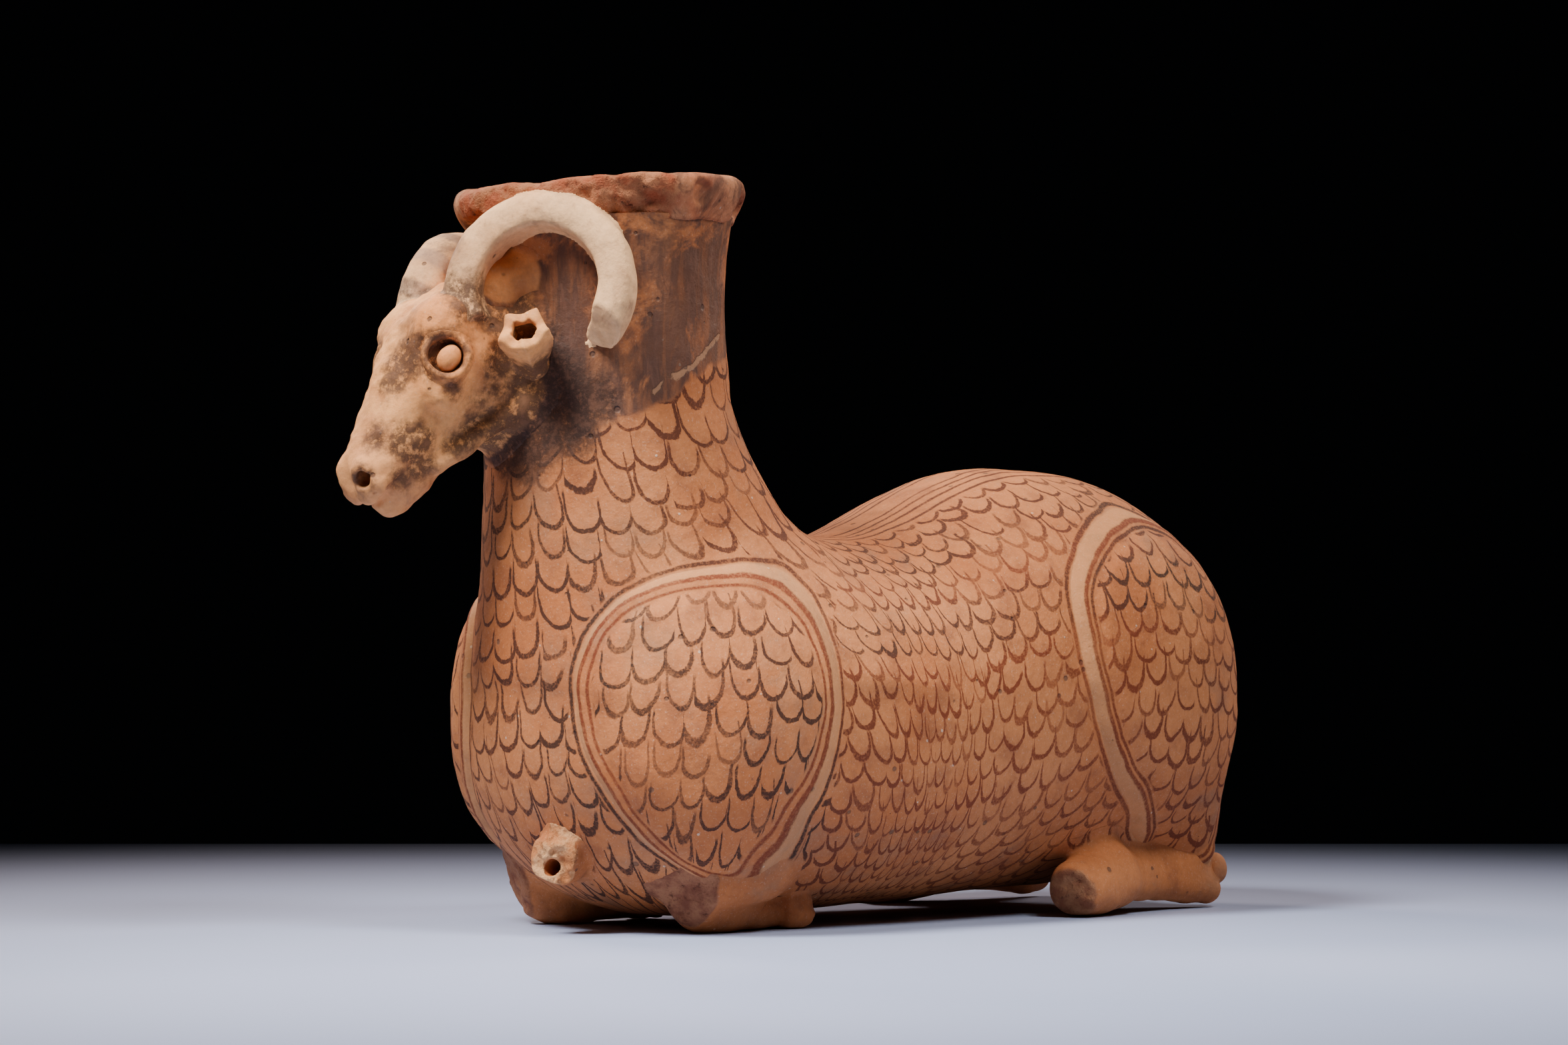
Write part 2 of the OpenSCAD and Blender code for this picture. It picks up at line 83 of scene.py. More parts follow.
# %% [markdown]
# ## The photographer's place
#
# The table edge and the horizon in the photograph give the height and tilt of the
# camera, and the slant of the body gives its azimuth of 50 degrees. The camera is set
# first, so that every later piece can be judged from where the photograph was taken.

# %% Set the camera
CAMERA_TURN = math.radians(50)
scene = bpy.context.scene
camera_data = bpy.data.cameras.new("camera")
camera_data.lens = 85
camera_data.sensor_width = 36
camera = bpy.data.objects.new("camera", camera_data)
scene.collection.objects.link(camera)
camera.location = (0.952, -0.80737, 0.080)
camera.rotation_euler = (math.radians(92.44), 0, CAMERA_TURN)
scene.camera = camera

# %% [markdown]
# ## Clay is shaped as a field
#
# Pressed clay has no hard joints: where a leg meets the body, the wet clay runs from one
# into the other. So each form is written as a field, a number for every point in space
# that is negative inside the clay and about the distance in mm outside it. Two fields
# join with a soft fillet by a smooth minimum, and the surface is drawn where the field
# is zero.


# %% Small tools for fields
def ease(t):
    t = np.clip(t, 0, 1)
    return t * t * (3 - 2 * t)


def mix(a, b, t):
    return a + (b - a) * t


def join(a, b, fillet):
    """Both forms, run together with a fillet of that many mm."""
    h = np.maximum(fillet - np.abs(a - b), 0) / fillet
    return np.minimum(a, b) - h * h * fillet / 4


def trim(a, b, round_off):
    """What lies in both forms, with its new edge rounded off."""
    return -join(-a, -b, round_off)


def ball(p, centre, radius):
    return np.linalg.norm(p - np.array(centre), axis=1) - radius


def egg(p, centre, radii):
    """A ball squeezed to three radii."""
    radii = np.array(radii, float)
    return (np.linalg.norm((p - np.array(centre)) / radii, axis=1) - 1) * radii.min()


def roll(p, a, b, radius_a, radius_b):
    """A roll of clay from a to b, that may get thicker or thinner."""
    a = np.array(a, float)
    line = np.array(b, float) - a
    t = np.clip((p - a) @ line / (line @ line), 0, 1)
    return np.linalg.norm(p - (a + t[:, None] * line), axis=1) - mix(radius_a, radius_b, t)


def fold(p):
    """Lays the right side over the left one."""
    folded = p.copy()
    folded[:, 0] = np.abs(p[:, 0])
    return folded


def cut(p, point, direction):
    """Keeps what lies behind a plane that looks along direction."""
    direction = np.array(direction, float)
    return (p - np.array(point)) @ (direction / np.linalg.norm(direction))


def smooth_line(points, softness=3.0):
    """A soft curve through (place, value) pairs, as a function of place."""
    place, value = np.array(points, float).T
    fine = np.arange(place[0] - 20, place[-1] + 20, 0.5)
    reach = np.arange(-4 * softness, 4 * softness + 0.1, 0.5)
    weight = np.exp(-0.5 * (reach / softness) ** 2)
    padded = np.interp(np.arange(fine[0] + reach[0], fine[-1] + reach[-1] + 0.1, 0.5), place, value)
    curve = np.convolve(padded, weight / weight.sum(), "valid")[: len(fine)]
    return lambda at: np.interp(at, fine, curve)


def corner_number(x, y, z, seed):
    """A steady random number from 0 to 1 for each corner of a lattice."""
    n = (x * 374761393 + y * 668265263 + z * 1274126177 + seed * 144269504) & 0xFFFFFFFF
    n = ((n ^ (n >> 13)) * 1103515245) & 0xFFFFFFFF
    return (n ^ (n >> 16)) / 0xFFFFFFFF


def lumps(p, size, seed):
    """Soft random lumps of that size in mm, from -1 to 1."""
    q = p / size
    base = np.floor(q).astype(np.int64)
    f = q - base
    f = f * f * (3 - 2 * f)
    total = np.zeros(len(p))
    for corner in range(8):
        step = np.array([corner & 1, corner >> 1 & 1, corner >> 2])
        weight = np.prod(np.where(step == 1, f, 1 - f), axis=1)
        total += weight * corner_number(*(base + step).T, seed)
    return 2 * total - 1


def hand(p):
    """Moves points as the potter's fingers left the clay: long swells and small dents."""
    moved = p.copy()
    for axis in range(3):
        moved[:, axis] += 0.8 * lumps(p, 47, 11 + axis) + 0.32 * lumps(p, 10, 21 + axis)
        moved[:, axis] += 0.10 * lumps(p, 3.3, 31 + axis)
    moved[:, 2] = np.maximum(moved[:, 2], 0)
    return moved


# %% [markdown]
# ## From a field to a mesh
#
# The field is sampled on a grid and OpenVDB draws quads round it. The corners of those
# quads then walk down the slope of the field until they lie on it, which takes away the
# steps of the grid.


# %% Draw the surface of a field
def slope(field, p):
    """Which way the field rises, at each point."""
    near = 0.15
    return np.stack(
        [field(p + near * axis) - field(p - near * axis) for axis in np.eye(3)], axis=1
    ) / (2 * near)


def surface(field, low, high, step):
    """Points and quads of the closed surface where the field is zero."""
    low = np.array(low, float)
    counts = np.ceil((np.array(high) - low) / step).astype(int) + 1
    axes = [low[i] + step * np.arange(counts[i]) for i in range(3)]
    samples = np.empty(counts, np.float32)
    for start in range(0, counts[0], 12):
        block = np.stack(np.meshgrid(axes[0][start : start + 12], axes[1], axes[2], indexing="ij"), -1)
        samples[start : start + 12] = field(block.reshape(-1, 3)).reshape(block.shape[:3])
    grid = openvdb.FloatGrid(background=1.0)
    grid.copyFromArray(samples, tolerance=0)
    grid.gridClass = openvdb.GridClass.LEVEL_SET
    points, quads = grid.convertToQuads(0.0)
    points = low + np.array(points, float) * step
    quads = np.array(quads, np.int64)
    for _ in range(3):
        rise = slope(field, points)
        length = np.maximum((rise**2).sum(1), 0.05)
        walk = -(field(points) / length)[:, None] * rise
        size = np.linalg.norm(walk, axis=1, keepdims=True)
        points = points + walk * np.minimum(1, 0.7 * step / np.maximum(size, 1e-9))
    a, b, c = points[quads[:, 0]], points[quads[:, 1]], points[quads[:, 2]]
    if np.einsum("ij,ij->", a, np.cross(b, c)) < 0:
        quads = quads[:, ::-1]
    return points, quads


def mesh_from(name, points, quads):
    mesh = bpy.data.meshes.new(name)
    mesh.vertices.add(len(points))
    mesh.vertices.foreach_set("co", (points * MM).astype(np.float32).ravel())
    mesh.loops.add(quads.size)
    mesh.loops.foreach_set("vertex_index", quads.astype(np.int32).ravel())
    mesh.polygons.add(len(quads))
    mesh.polygons.foreach_set("loop_start", np.arange(0, quads.size, 4, dtype=np.int32))
    mesh.update(calc_edges=True)
    mesh.validate()
    return mesh


def points_of(mesh):
    co = np.empty(len(mesh.vertices) * 3, np.float32)
    mesh.vertices.foreach_get("co", co)
    return co.reshape(-1, 3).astype(float) / MM


# %% [markdown]
# ## The hollow body and the neck
#
# The body is a slightly squared barrel with a domed chest and rump. The back rises from
# the saddle to a hump over the hind legs. The collar flares out of the chest, and the
# neck above it leans a little forward and opens towards the lip.

# %% Fields of the body, the collar and the neck
HALF_WIDTH = 72
WALL = 7
BORE_R = 33
NECK_R = 38.5
NECK_Z = 171
NECK_LENGTH = 56
LEAN = math.radians(3)
NECK_FRONT = FRONT - 1
NECK_FOOT_R = NECK_R + 21 * (19 / 75) ** 2
NECK_Y = NECK_FRONT + NECK_FOOT_R


def back_and_belly(y):
    """Height of the back and of the belly along the body."""
    u = (y - FRONT) / (REAR - FRONT)
    back = mix(129, 154, ease((u - 0.42) / 0.28)) - 9 * ease((u - 0.74) / 0.30)
    belly = mix(3, 9, ease((u - 0.35) / 0.45)) - 5 * ease((u - 0.82) / 0.2)
    return back, belly


def torso(p, inset=0):
    x, y, z = p.T
    back, belly = back_and_belly(y)
    power = 2 / 0.93
    across = (np.abs(x) / (HALF_WIDTH - inset)) ** power
    upright = (np.abs(z - (back + belly) / 2) / ((back - belly) / 2 - inset)) ** power
    r = (across + upright + 1e-9) ** (1 / power)
    chest = np.maximum(0, FRONT + 62 - y) / (62 - inset)
    rump = np.maximum(0, y - REAR + 74) / (74 - inset)
    r = (r**2.05 + chest**2.05 + 1e-9) ** (1 / 2.05)
    r = (r**2.4 + rump**2.4) ** (1 / 2.4)
    return (r - 1) * 66


def along_neck(p):
    """Points seen from the neck: across, front to back, and height over its seam."""
    y = p[:, 1] - NECK_Y
    z = p[:, 2] - NECK_Z
    back = y * math.cos(LEAN) + z * math.sin(LEAN)
    height = z * math.cos(LEAN) - y * math.sin(LEAN)
    return p[:, 0], back, height


def collar_radii(z):
    flare = (np.maximum(0, NECK_Z + 19 - z) / 75) ** 2
    return NECK_R + 13 * flare, NECK_R + 21 * flare


def tube(p, inset=0):
    """The collar and the neck, as one tube."""
    x, y, z = p.T
    across, deep = collar_radii(z)
    front = NECK_FRONT + 5 * ease((108 - z) / 40)
    middle = front + deep
    across, deep = across - inset, deep - inset
    collar = (np.hypot(x / across, (y - middle) / deep) - 1) * np.minimum(across, deep)
    side, back, height = along_neck(p)
    t = height / NECK_LENGTH
    radius = NECK_R + (NECK_FOOT_R - NECK_R) * np.maximum(1 - t, 0) ** 2 + 4 * np.clip(t, 0, 1.2) ** 4
    neck = np.hypot(side, back) - (BORE_R if inset else radius)
    return mix(collar, neck, ease((z - 165) / 12))


def skin(p, inset=0):
    """The outside of the pot without its limbs; with an inset, the hollow."""
    stem = trim(tube(p, inset), 84 + inset - p[:, 2], 4)
    body = torso(p, inset)
    if not inset:
        thigh = roll(fold(p), (36, REAR - 37, 62), (38.5, REAR - 25, 21), 21, 10)
        body = join(body, thigh, 10)
    return join(body, stem, 12)


# %% [markdown]
# ## Head
#
# The head is described along its own face: X to the ram's left, S down the face from
# the poll, and N from the face towards the throat. It is one modelled lump: a long
# wedge with a blunt muzzle, swollen brows, a pit for each eye, a pressed mouth line and
# two nostrils pushed in with a stick.

# %% Fields of the head
TURN = math.radians(11)
SLOPE = math.radians(58)
POLL_OUT = NECK_FOOT_R + 8.5
POLL_Z = 211


def on_head(p):
    """Points seen from the head: to its left, out in front of the neck, and up."""
    y = p[:, 1] - NECK_Y
    x = p[:, 0] * math.cos(TURN) - y * math.sin(TURN)
    out = -p[:, 0] * math.sin(TURN) - y * math.cos(TURN)
    return np.stack([x, out, p[:, 2]], axis=1)


def off_head(h):
    """Back from head points to points of the model."""
    x = h[:, 0] * math.cos(TURN) - h[:, 1] * math.sin(TURN)
    y = -h[:, 0] * math.sin(TURN) - h[:, 1] * math.cos(TURN) + NECK_Y
    return np.stack([x, y, h[:, 2]], axis=1)


def on_face(p):
    """Points seen along the face: X, S and N."""
    x, out, z = on_head(p).T
    out, z = out - POLL_OUT, z - POLL_Z
    down = out * math.cos(SLOPE) - z * math.sin(SLOPE)
    deep = -out * math.sin(SLOPE) - z * math.cos(SLOPE)
    return np.stack([x, down, deep], axis=1)


def off_face(q):
    q = np.atleast_2d(np.array(q, float))
    out = POLL_OUT + q[:, 1] * math.cos(SLOPE) - q[:, 2] * math.sin(SLOPE)
    z = POLL_Z - q[:, 1] * math.sin(SLOPE) - q[:, 2] * math.cos(SLOPE)
    return off_head(np.stack([q[:, 0], out, z], axis=1))


brow_line = smooth_line([(-16, 16), (1, 1), (13, -5.3), (27, -8.9), (42, -8.4), (56, -6.8),
                         (66, -4.6), (75, -2.4), (84, 0)], 2.5)
jaw_edge = smooth_line([(-16, 50), (6, 52), (22, 47), (36, 38), (47, 30), (54, 26), (60, 24.6),
                        (68, 23.6), (76, 22.6), (84, 21)], 2.5)
throat_edge = smooth_line([(-16, 74), (10, 70), (30, 55), (42, 40), (48, 29), (60, 14)], 2.0)
cheek_width = smooth_line([(-16, 17), (1, 18.5), (14, 20.5), (28, 20.5), (42, 17.5), (56, 13.8),
                           (66, 11.9), (76, 11.6), (84, 11)], 3.0)
MUZZLE_S = 81.5
EYE = (20.3, 35, 2.3)
EYE_LOOK = np.array([0.909, 0.128, -0.396])


def wedge(q, top, low, width, tip, power):
    """A long form between two edge lines, with a blunt end at S = tip."""
    x, s, n = q.T
    middle, half = (top(s) + low(s)) / 2, np.maximum((low(s) - top(s)) / 2, 2)
    narrower = 1 - 0.2 * ease((n - middle) / half)
    w = width(s) * narrower
    end = np.maximum(0, s - tip + 13) / 13
    back = np.maximum(0, 2 - s) / 20
    total = (np.abs(x) / w) ** power + (np.abs(n - middle) / half) ** power
    total = total + end**2.6 + back**power
    return ((total + 1e-9) ** (1 / power) - 1) * np.minimum(w, half)


def eye_frame(q, side):
    """Points seen from an eye: across it, down it, and out of it."""
    flip = np.array([side, 1, 1])
    look = EYE_LOOK
    down = np.array([0, 1, 0]) - look * look[1]
    down = down / np.linalg.norm(down)
    across = np.cross(down, look)
    local = q * flip - np.array(EYE)
    return np.stack([local @ across, local @ down, local @ look], axis=1)


def eye_ring(eye):
    """Distance from the middle of the pit round an eye, which is a little wider than high."""
    return np.linalg.norm((eye[:, :2] - np.array([0.9, 0])) / np.array([1.16, 1.08]), axis=1)


def head_form(p):
    q = on_face(p)
    half = fold(q)
    skull = wedge(q, brow_line, jaw_edge, cheek_width, MUZZLE_S, 2.3)
    throat = wedge(q, brow_line, throat_edge, lambda s: 0.66 * cheek_width(s), 56, 2.2)
    form = join(skull, throat, 5)
    swellings = [
        (egg(half, (13.5, 25.5, -2), (10.5, 11.5, 9)), 6),  # brow
        (egg(half, (16.4, 43.5, 8), (5, 5.5, 7)), 3),  # below the eye
        (egg(half, (15, 33, 5), (7.4, 11.5, 11)), 4),  # bed of the eyelid
        (egg(half, (6.6, 76, 4.5), (5.8, 6, 6)), 4),  # wing of the nose
        (egg(half, (4, 79, 8), (7.4, 5, 4)), 3),  # upper lip
        (roll(half, (0, 77, 17.5), (4, 68, 19.5), 4.8, 4.6), 4),  # chin
        (roll(half, (9, 62, 21.5), (17.5, 26, 34.5), 2.6, 3.6), 4),  # edge of the jaw
    ]
    for swelling, fillet in swellings:
        form = join(form, swelling, fillet)
    eye = eye_frame(half, 1)
    mouth = roll(half, (0, 84, 12), (10.4, 78, 12), 1.8, 2)
    mouth = join(mouth, roll(half, (10.4, 78, 12), (12.8, 65, 14.8), 2, 1.3), 1)
    hollows = [
        (np.maximum(eye_ring(eye) - 5.8, -0.6 - eye[:, 2]), 1.6),  # pit round the eye
        (roll(half, (19.5, 38, -7.5), (17.5, 52, -4.5), 4, 3), 4),  # before the eye
        (roll(half, (20.6, 42.5, -2), (18, 50.5, -1.5), 1.1, 0.7), 1),  # tear line
        (mouth, 1.2),
        (roll(half, (4.5, 73.5, 6.5), (9.8, 80, 1.6), 2.1, 2.9) + 0.7 * lumps(p, 2.2, 8), 2),  # nostril
        (roll(q, (16.8, 54, 10), (16.5, 60.5, 6), 0.7, 0.4), 0.5),  # crack in the cheek
    ]
    for hollow, round_off in hollows:
        form = trim(form, -hollow, round_off)
    return form + 0.45 * lumps(p, 7, 5) + 0.30 * lumps(p, 3.2, 6) + 0.14 * lumps(p, 1.6, 7)


HORN_MIDDLE = {1: np.array([28.5, POLL_OUT - 11, 202.5]), -1: np.array([-30.5, POLL_OUT - 8, 195.5])}


def horn_frame(p, side):
    """Points seen from the middle of a horn: along it, up, and square to its plane."""
    h = on_head(p)
    splay, tilt = math.radians(39), math.radians(6)
    along = np.array([side * math.sin(splay), -math.cos(splay), 0])
    sunk = math.sin(tilt)
    up = np.array([-side * math.cos(splay) * sunk, -math.sin(splay) * sunk, math.cos(tilt)])
    local = h - HORN_MIDDLE[side]
    return np.stack([local @ along, local @ up, local @ np.cross(along, up)], axis=1)


def horn_form(p, side):
    """A flattened roll bent round an arc, open below, with both ends cut square."""
    a, b, n = horn_frame(p, side).T
    radius = 23.5
    out = np.hypot(a, b) - radius
    turn = np.degrees(np.arctan2(b, a))
    turn = np.where(turn < -90, turn + 360, turn)
    grow = mix(0.90, 1.03, ease((turn + 30) / 200))
    across = (np.abs(out) / (7.3 * grow)) ** 2.3 + (np.abs(n) / (7.8 * grow)) ** 2.3
    form = ((across + 1e-9) ** (1 / 2.3) - 1) * 7
    form = trim(form, -(out + 4.6), 1.4)
    last = math.radians(-34 if side > 0 else 20)
    first = math.radians(208)
    beyond_last = (a * math.sin(last) - b * math.cos(last) - 0.75 * side * n) / 1.25 + 0.3 * lumps(p, 3, 43)
    before_first = -a * math.sin(first) + b * math.cos(first)
    form = trim(form, np.minimum(beyond_last, before_first), 1.0)
    return form + 0.25 * lumps(p, 7, 41) + 0.12 * lumps(p, 2.4, 42)


def ear_frame(p, side):
    """Points seen from an ear: two ways across it, and out along it."""
    h = on_head(p) * np.array([side, 1, 1])
    root = np.array([18.6, 33.5, 177.6])
    out = np.array([0.641, 0.542, 0.542])
    across = np.cross(out, (0, 0, 1))
    across = across / np.linalg.norm(across)
    local = h - root
    return np.stack([local @ across, local @ np.cross(across, out), local @ out], axis=1)


def ear_form(p, side):
    """A short trumpet with a thick, roughly five-sided rim."""
    u, v, t = ear_frame(p, side).T
    r = np.hypot(u, v)
    corners = np.cos(5 * np.arctan2(v, u) + 0.6)
    turns = [0.57 + k * 2 * math.pi / 5 for k in range(5)]
    five_sided = np.max([u * math.cos(a) + v * math.sin(a) for a in turns], axis=0)
    outer = mix(r, five_sided * 1.10, ease(t / 12)) - mix(4.6, 8.0, ease((t - 2) / 18))
    form = trim(outer, t - 21 - 0.8 * corners, 0.9)
    form = trim(form, -7 - t, 2)
    hole = trim(mix(r, five_sided * 1.08, 0.6) - 4.2, 4 - t, 1)
    return trim(form, -hole, 0.6) + 0.25 * lumps(p, 4, 51) + 0.15 * lumps(p, 2, 52)


def eyelid_form(p, side):
    eye = eye_frame(on_face(p), side)
    thick = 1.15 - 0.25 * np.clip(eye[:, 0] / 6, -1, 1) + 0.15 * lumps(p, 3, 56)
    return np.hypot(eye_ring(eye) - 5.9, (eye[:, 2] - 1.2) * 0.7) - thick


def eye_form(p, side):
    eye = eye_frame(on_face(p), side)
    return egg(eye, (0, 0, 0.4), (3.5, 4.4, 3.6)) + 0.12 * lumps(p, 2, 57)


def poll_form(p):
    h = on_head(p)
    form = roll(h, (10, POLL_OUT - 4, 206), (-4, POLL_OUT - 6, 203), 7.4, 7.4)
    form = join(form, roll(h, (10, POLL_OUT - 4, 206), (13, POLL_OUT - 13, 208), 7.4, 7.4), 2)
    return form + 0.5 * lumps(p, 5, 61)


# %% [markdown]
# ## Legs, pads, spout and tail
#
# The shoulder and haunch are drop-shaped swellings on the flank; the painted bands run
# round their edge. The legs are short rolls folded under the body, broken in front.

# %% Fields of the limbs
HIND_Y = REAR - 94
FORE_Y = {1: FRONT + 52, -1: FRONT + 43}
SPOUT = np.array([8, FRONT + 15.1, 24])
SPOUT_WAY = np.array([0.45, -0.89, 0.08])
HIND_X = 54
HOCK = np.array([43.5, HIND_Y + 79, 12.5])


def mirrored(p, side):
    return p * np.array([side, 1, 1])


def fore(p, side):
    """Points seen from the root of a foreleg."""
    return mirrored(p, side) - np.array([33, FORE_Y[side], 0])


def hind(p, side):
    """Points seen from a hind knee."""
    return mirrored(p, side) - np.array([HIND_X, HIND_Y, 0])


def drop(across, up, outline):
    """Distance from a closed outline that is given as a radius for each direction."""
    way = np.degrees(np.arctan2(up, across))
    radius = outline(way)
    lean = (outline(way + 2) - outline(way - 2)) / (radius * math.radians(4))
    return (np.hypot(across, up) - radius) / np.sqrt(1 + lean**2)


shoulder_outline = smooth_line(
    [(-197, 49), (-175, 46), (-161, 45.7), (-144, 46), (-126, 54), (-112, 62), (-100, 60), (-86, 50),
     (-53, 42.3), (-16, 46), (9, 48.2), (34, 45.2), (66, 44), (108, 48.8), (119, 51), (130, 52.2),
     (146, 51.6), (163, 49), (185, 46), (199, 45.7)], 5)
haunch_outline = smooth_line(
    [(-192, 48.4), (-165, 43.8), (-137, 44.7), (-104, 49.4), (-83, 63), (-66, 83), (-59, 91), (-52, 82),
     (-40, 63), (-17, 51), (12, 49), (38, 53.4), (67, 55.5), (86, 56), (106, 54.4), (129, 54.8),
     (148, 54.9), (158, 52.8), (169, 48.4), (195, 43.8)], 5)


def shoulder_edge(p):
    """Distance inside (negative) or outside the painted edge of the shoulder."""
    near = np.abs(p[:, 0]) - 14
    behind = p[:, 1] - FRONT - 62
    round_chest = np.arctan2(near, -behind) * np.hypot(near, behind)
    return drop(round_chest - 61, p[:, 2] - 70, shoulder_outline)


def haunch_edge(p):
    y = p[:, 1] - (REAR - 74)
    round_rump = np.where(y < 0, y, np.arctan2(y, np.abs(p[:, 0])) * 72)
    return drop(round_rump - 13, p[:, 2] - 85, haunch_outline)


def pad_form(p, side, edge, proud):
    d = edge(p)
    ridge = 1.1 * np.exp(-(((d + 4.2) / 2.6) ** 2)) - 0.5 * np.exp(-(((d + 9.5) / 2.2) ** 2))
    height = proud * ease(-d / 13) + ridge - 0.5 * ease(1 + d / 2)
    clay = skin(p)
    form = trim(clay - height, -(clay + 2), 0.5)
    form = trim(form, d - 1, 0.5)
    return trim(form, 4 - side * p[:, 0], 1)


def foreleg_break(p, side):
    """In front of the break it is positive; the break faces forwards and a little down."""
    rough = 0.5 * lumps(p, 3.5, 71) + 0.3 * lumps(p, 1.6, 72)
    return cut(fore(p, side), (5.5, -12.5, 16), (0.34, -0.88, -0.33)) + rough


def foreleg_form(p, side):
    q = fore(p, side)
    form = roll(q, (9, 14, 21), (5.5, -9.5, 16), 11.5, 10.8)
    form = join(form, roll(q, (1, -4, 9), (-1, 6, 8), 7.5, 7.5), 6)
    form = trim(form, -p[:, 2], 1)
    return trim(form, foreleg_break(p, side), 0.6)


def fore_shank_form(p, side):
    return trim(roll(fore(p, side), (0, 2, 7.2), (-2, 34, 5.0), 7.8, 4.8), -p[:, 2], 1)


def fore_hoof_form(p, side):
    q = (fore(p, side) - np.array([-0.5, 35.5, 6.8])) / np.array([7.8, 6.6, 7.6])
    r = (np.abs(q) ** 3).sum(1) ** (1 / 3)
    return trim((r - 1) * 6.6, -p[:, 2], 1) + 0.5 * lumps(p, 5, 77) + 0.3 * lumps(p, 2.2, 78)


def hind_break(p, side):
    rough = 0.9 * lumps(p, 6, 73) + 0.5 * lumps(p, 2.6, 74)
    return cut(hind(p, side), (0, -5.5, 9), (0.40, -0.86, -0.30)) + rough


def hind_knee_form(p, side):
    form = roll(hind(p, side), (0, 0, 9.6), (-4, 18, 14), 10, 10) + 0.9 * lumps(p, 9, 70)
    return trim(trim(form, hind_break(p, side), 1.5), -p[:, 2], 1)


def hind_shank_form(p, side):
    q = mirrored(p, side)
    form = roll(q, (HIND_X - 3, HIND_Y + 12, 9), (46, HIND_Y + 36, 10.5), 8, 6.2)
    form = join(form, roll(q, (46, HIND_Y + 36, 10.5), (42, HIND_Y + 66, 8.2), 6.2, 6.6), 3)
    form = join(form, roll(q, (42, HIND_Y + 66, 8), (43, HIND_Y + 74, 6.8), 6.4, 5.6), 2)
    form = join(form, roll(q, (43, HIND_Y + 20, 17), (40, HIND_Y + 60, 16), 7.5, 6.5), 7)
    return trim(form + 0.5 * lumps(p, 8, 68), -p[:, 2], 1)


def hock_form(p, side):
    return egg(mirrored(p, side), HOCK + (0, 0, 1), (4.0, 4.0, 5.6))


def spout_break(p):
    rough = 2.6 * lumps(p, 5.5, 75) + 1.3 * lumps(p, 2.2, 76)
    return cut(p, SPOUT + (4.5, -7.5, 0), SPOUT_WAY) + rough


def spout_form(p):
    form = roll(p, SPOUT + (0, 4, 1), SPOUT + (3.5, -5, 0.5), 8.5, 8.4) + 1.4 * lumps(p, 5, 79)
    form = trim(form, spout_break(p), 0.6)
    from_hole = p - (SPOUT + (2.5, -5, -3))
    hole = np.linalg.norm(np.cross(from_hole, SPOUT_WAY), axis=1) - 2.8
    return trim(form, -hole, 0.8)


def tail_form(p):
    clay = skin(p)
    strip = np.abs(p[:, 0]) - mix(7.6, 5.5, ease((118 - p[:, 2]) / 62))
    form = trim(clay - 2.6, strip, 2.5)
    form = trim(form, np.abs(p[:, 2] - 87) - 31, 2)
    form = trim(form, REAR - 40 - p[:, 1], 2)
    return trim(form, -(clay + 1.5), 0.5)


# %% [markdown]
# ## Lip
#
# The lip is a thick coil that turns outwards. Its front is broken: the clay came away in
# a rough band that is redder than the worn surface beside it.

# %% Field of the lip
lip_outline = smooth_line(
    [(-8, 41), (-4, 41.9), (-2, 42.5), (0, 43.4), (4.7, 46), (8, 47), (11.5, 46.2), (13, 44.5)], 0.8)


def lip_break(p):
    """1 where the lip is broken, 0 where it is whole."""
    across, back, _ = along_neck(p)
    angle = np.degrees(np.arctan2(across, -back))
    return ease((angle + 34) / 18) * ease((92 - angle) / 20)


def on_side(form, side):
    return lambda p: form(p, side)


BREAKS = {"lip": lambda p: 6 * lip_break(p) - 3, "chest_spout": spout_break}
for name, side in SIDES.items():
    BREAKS[name + "_foreleg"] = on_side(foreleg_break, side)
    BREAKS[name + "_hind_knee"] = on_side(hind_break, side)


def lip_form(p):
    side, back, height = along_neck(p)
    h = height - NECK_LENGTH
    r = np.hypot(side, back)
    broken = lip_break(p)
    rough = 1.5 * lumps(p, 8, 81) + 1.1 * lumps(p, 3.6, 82) + 0.5 * lumps(p, 1.7, 83)
    chips = 2.2 * ease((lumps(p, 9, 87) - 0.35) / 0.4)
    outer = r - lip_outline(h) + broken * (1.2 + rough) + 0.4 * lumps(p, 12, 84) + chips
    top = h - 13 + 0.4 * lumps(p, 14, 85) + broken * 0.9 * (1 + lumps(p, 4, 86))
    form = trim(outer, top, 2.0)
    form = trim(form, -h - 2.5 - 1.3 * lumps(p, 7, 88), 0.4)
    return trim(form, BORE_R - r - 2.5 * ease((h - 9) / 4), 1.5)


# %% [markdown]
# ## Make the walls
#
# The outer and the inner skin are drawn once and cut along the seams where the potter
# luted the parts together, so neighbouring walls share their edge exactly.


# %% Cut the shell into chest, barrel, rump, collar and neck
made = {}
own_forms = {}


def keep(name, mesh, slot):
    """Makes the object, rides it on the pot's one body, hides the CAD node of the same name and sets its
    finish slot.
    """
    piece = bpy.data.objects.new(name, mesh)
    scene.collection.objects.link(piece)
    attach(piece, "root")
    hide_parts(name)
    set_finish(piece, slot)
    made[name] = piece
    return piece


def cut_mesh(source, planes):
    """A closed copy of the mesh, cut off in front of each plane (point, direction)."""
    bm = bmesh.new()
    bm.from_mesh(source)
    for point, direction in planes:
        found = bmesh.ops.bisect_plane(
            bm,
            geom=bm.verts[:] + bm.edges[:] + bm.faces[:],
            plane_co=np.array(point) * MM,
            plane_no=direction,
            clear_outer=True,
        )
        edges = [e for e in found["geom_cut"] if isinstance(e, bmesh.types.BMEdge)]
        edges = [e for e in edges if e.is_valid and e.is_boundary]
        bmesh.ops.triangle_fill(bm, use_beauty=True, edges=edges)
    mesh = bpy.data.meshes.new("wall")
    bm.to_mesh(mesh)
    bm.free()
    mesh.set_sharp_from_angle(angle=math.radians(50))
    return mesh


step = 1.6
box_low = (-80, FRONT - 6, -2)
box_high = (80, REAR + 5, 240)


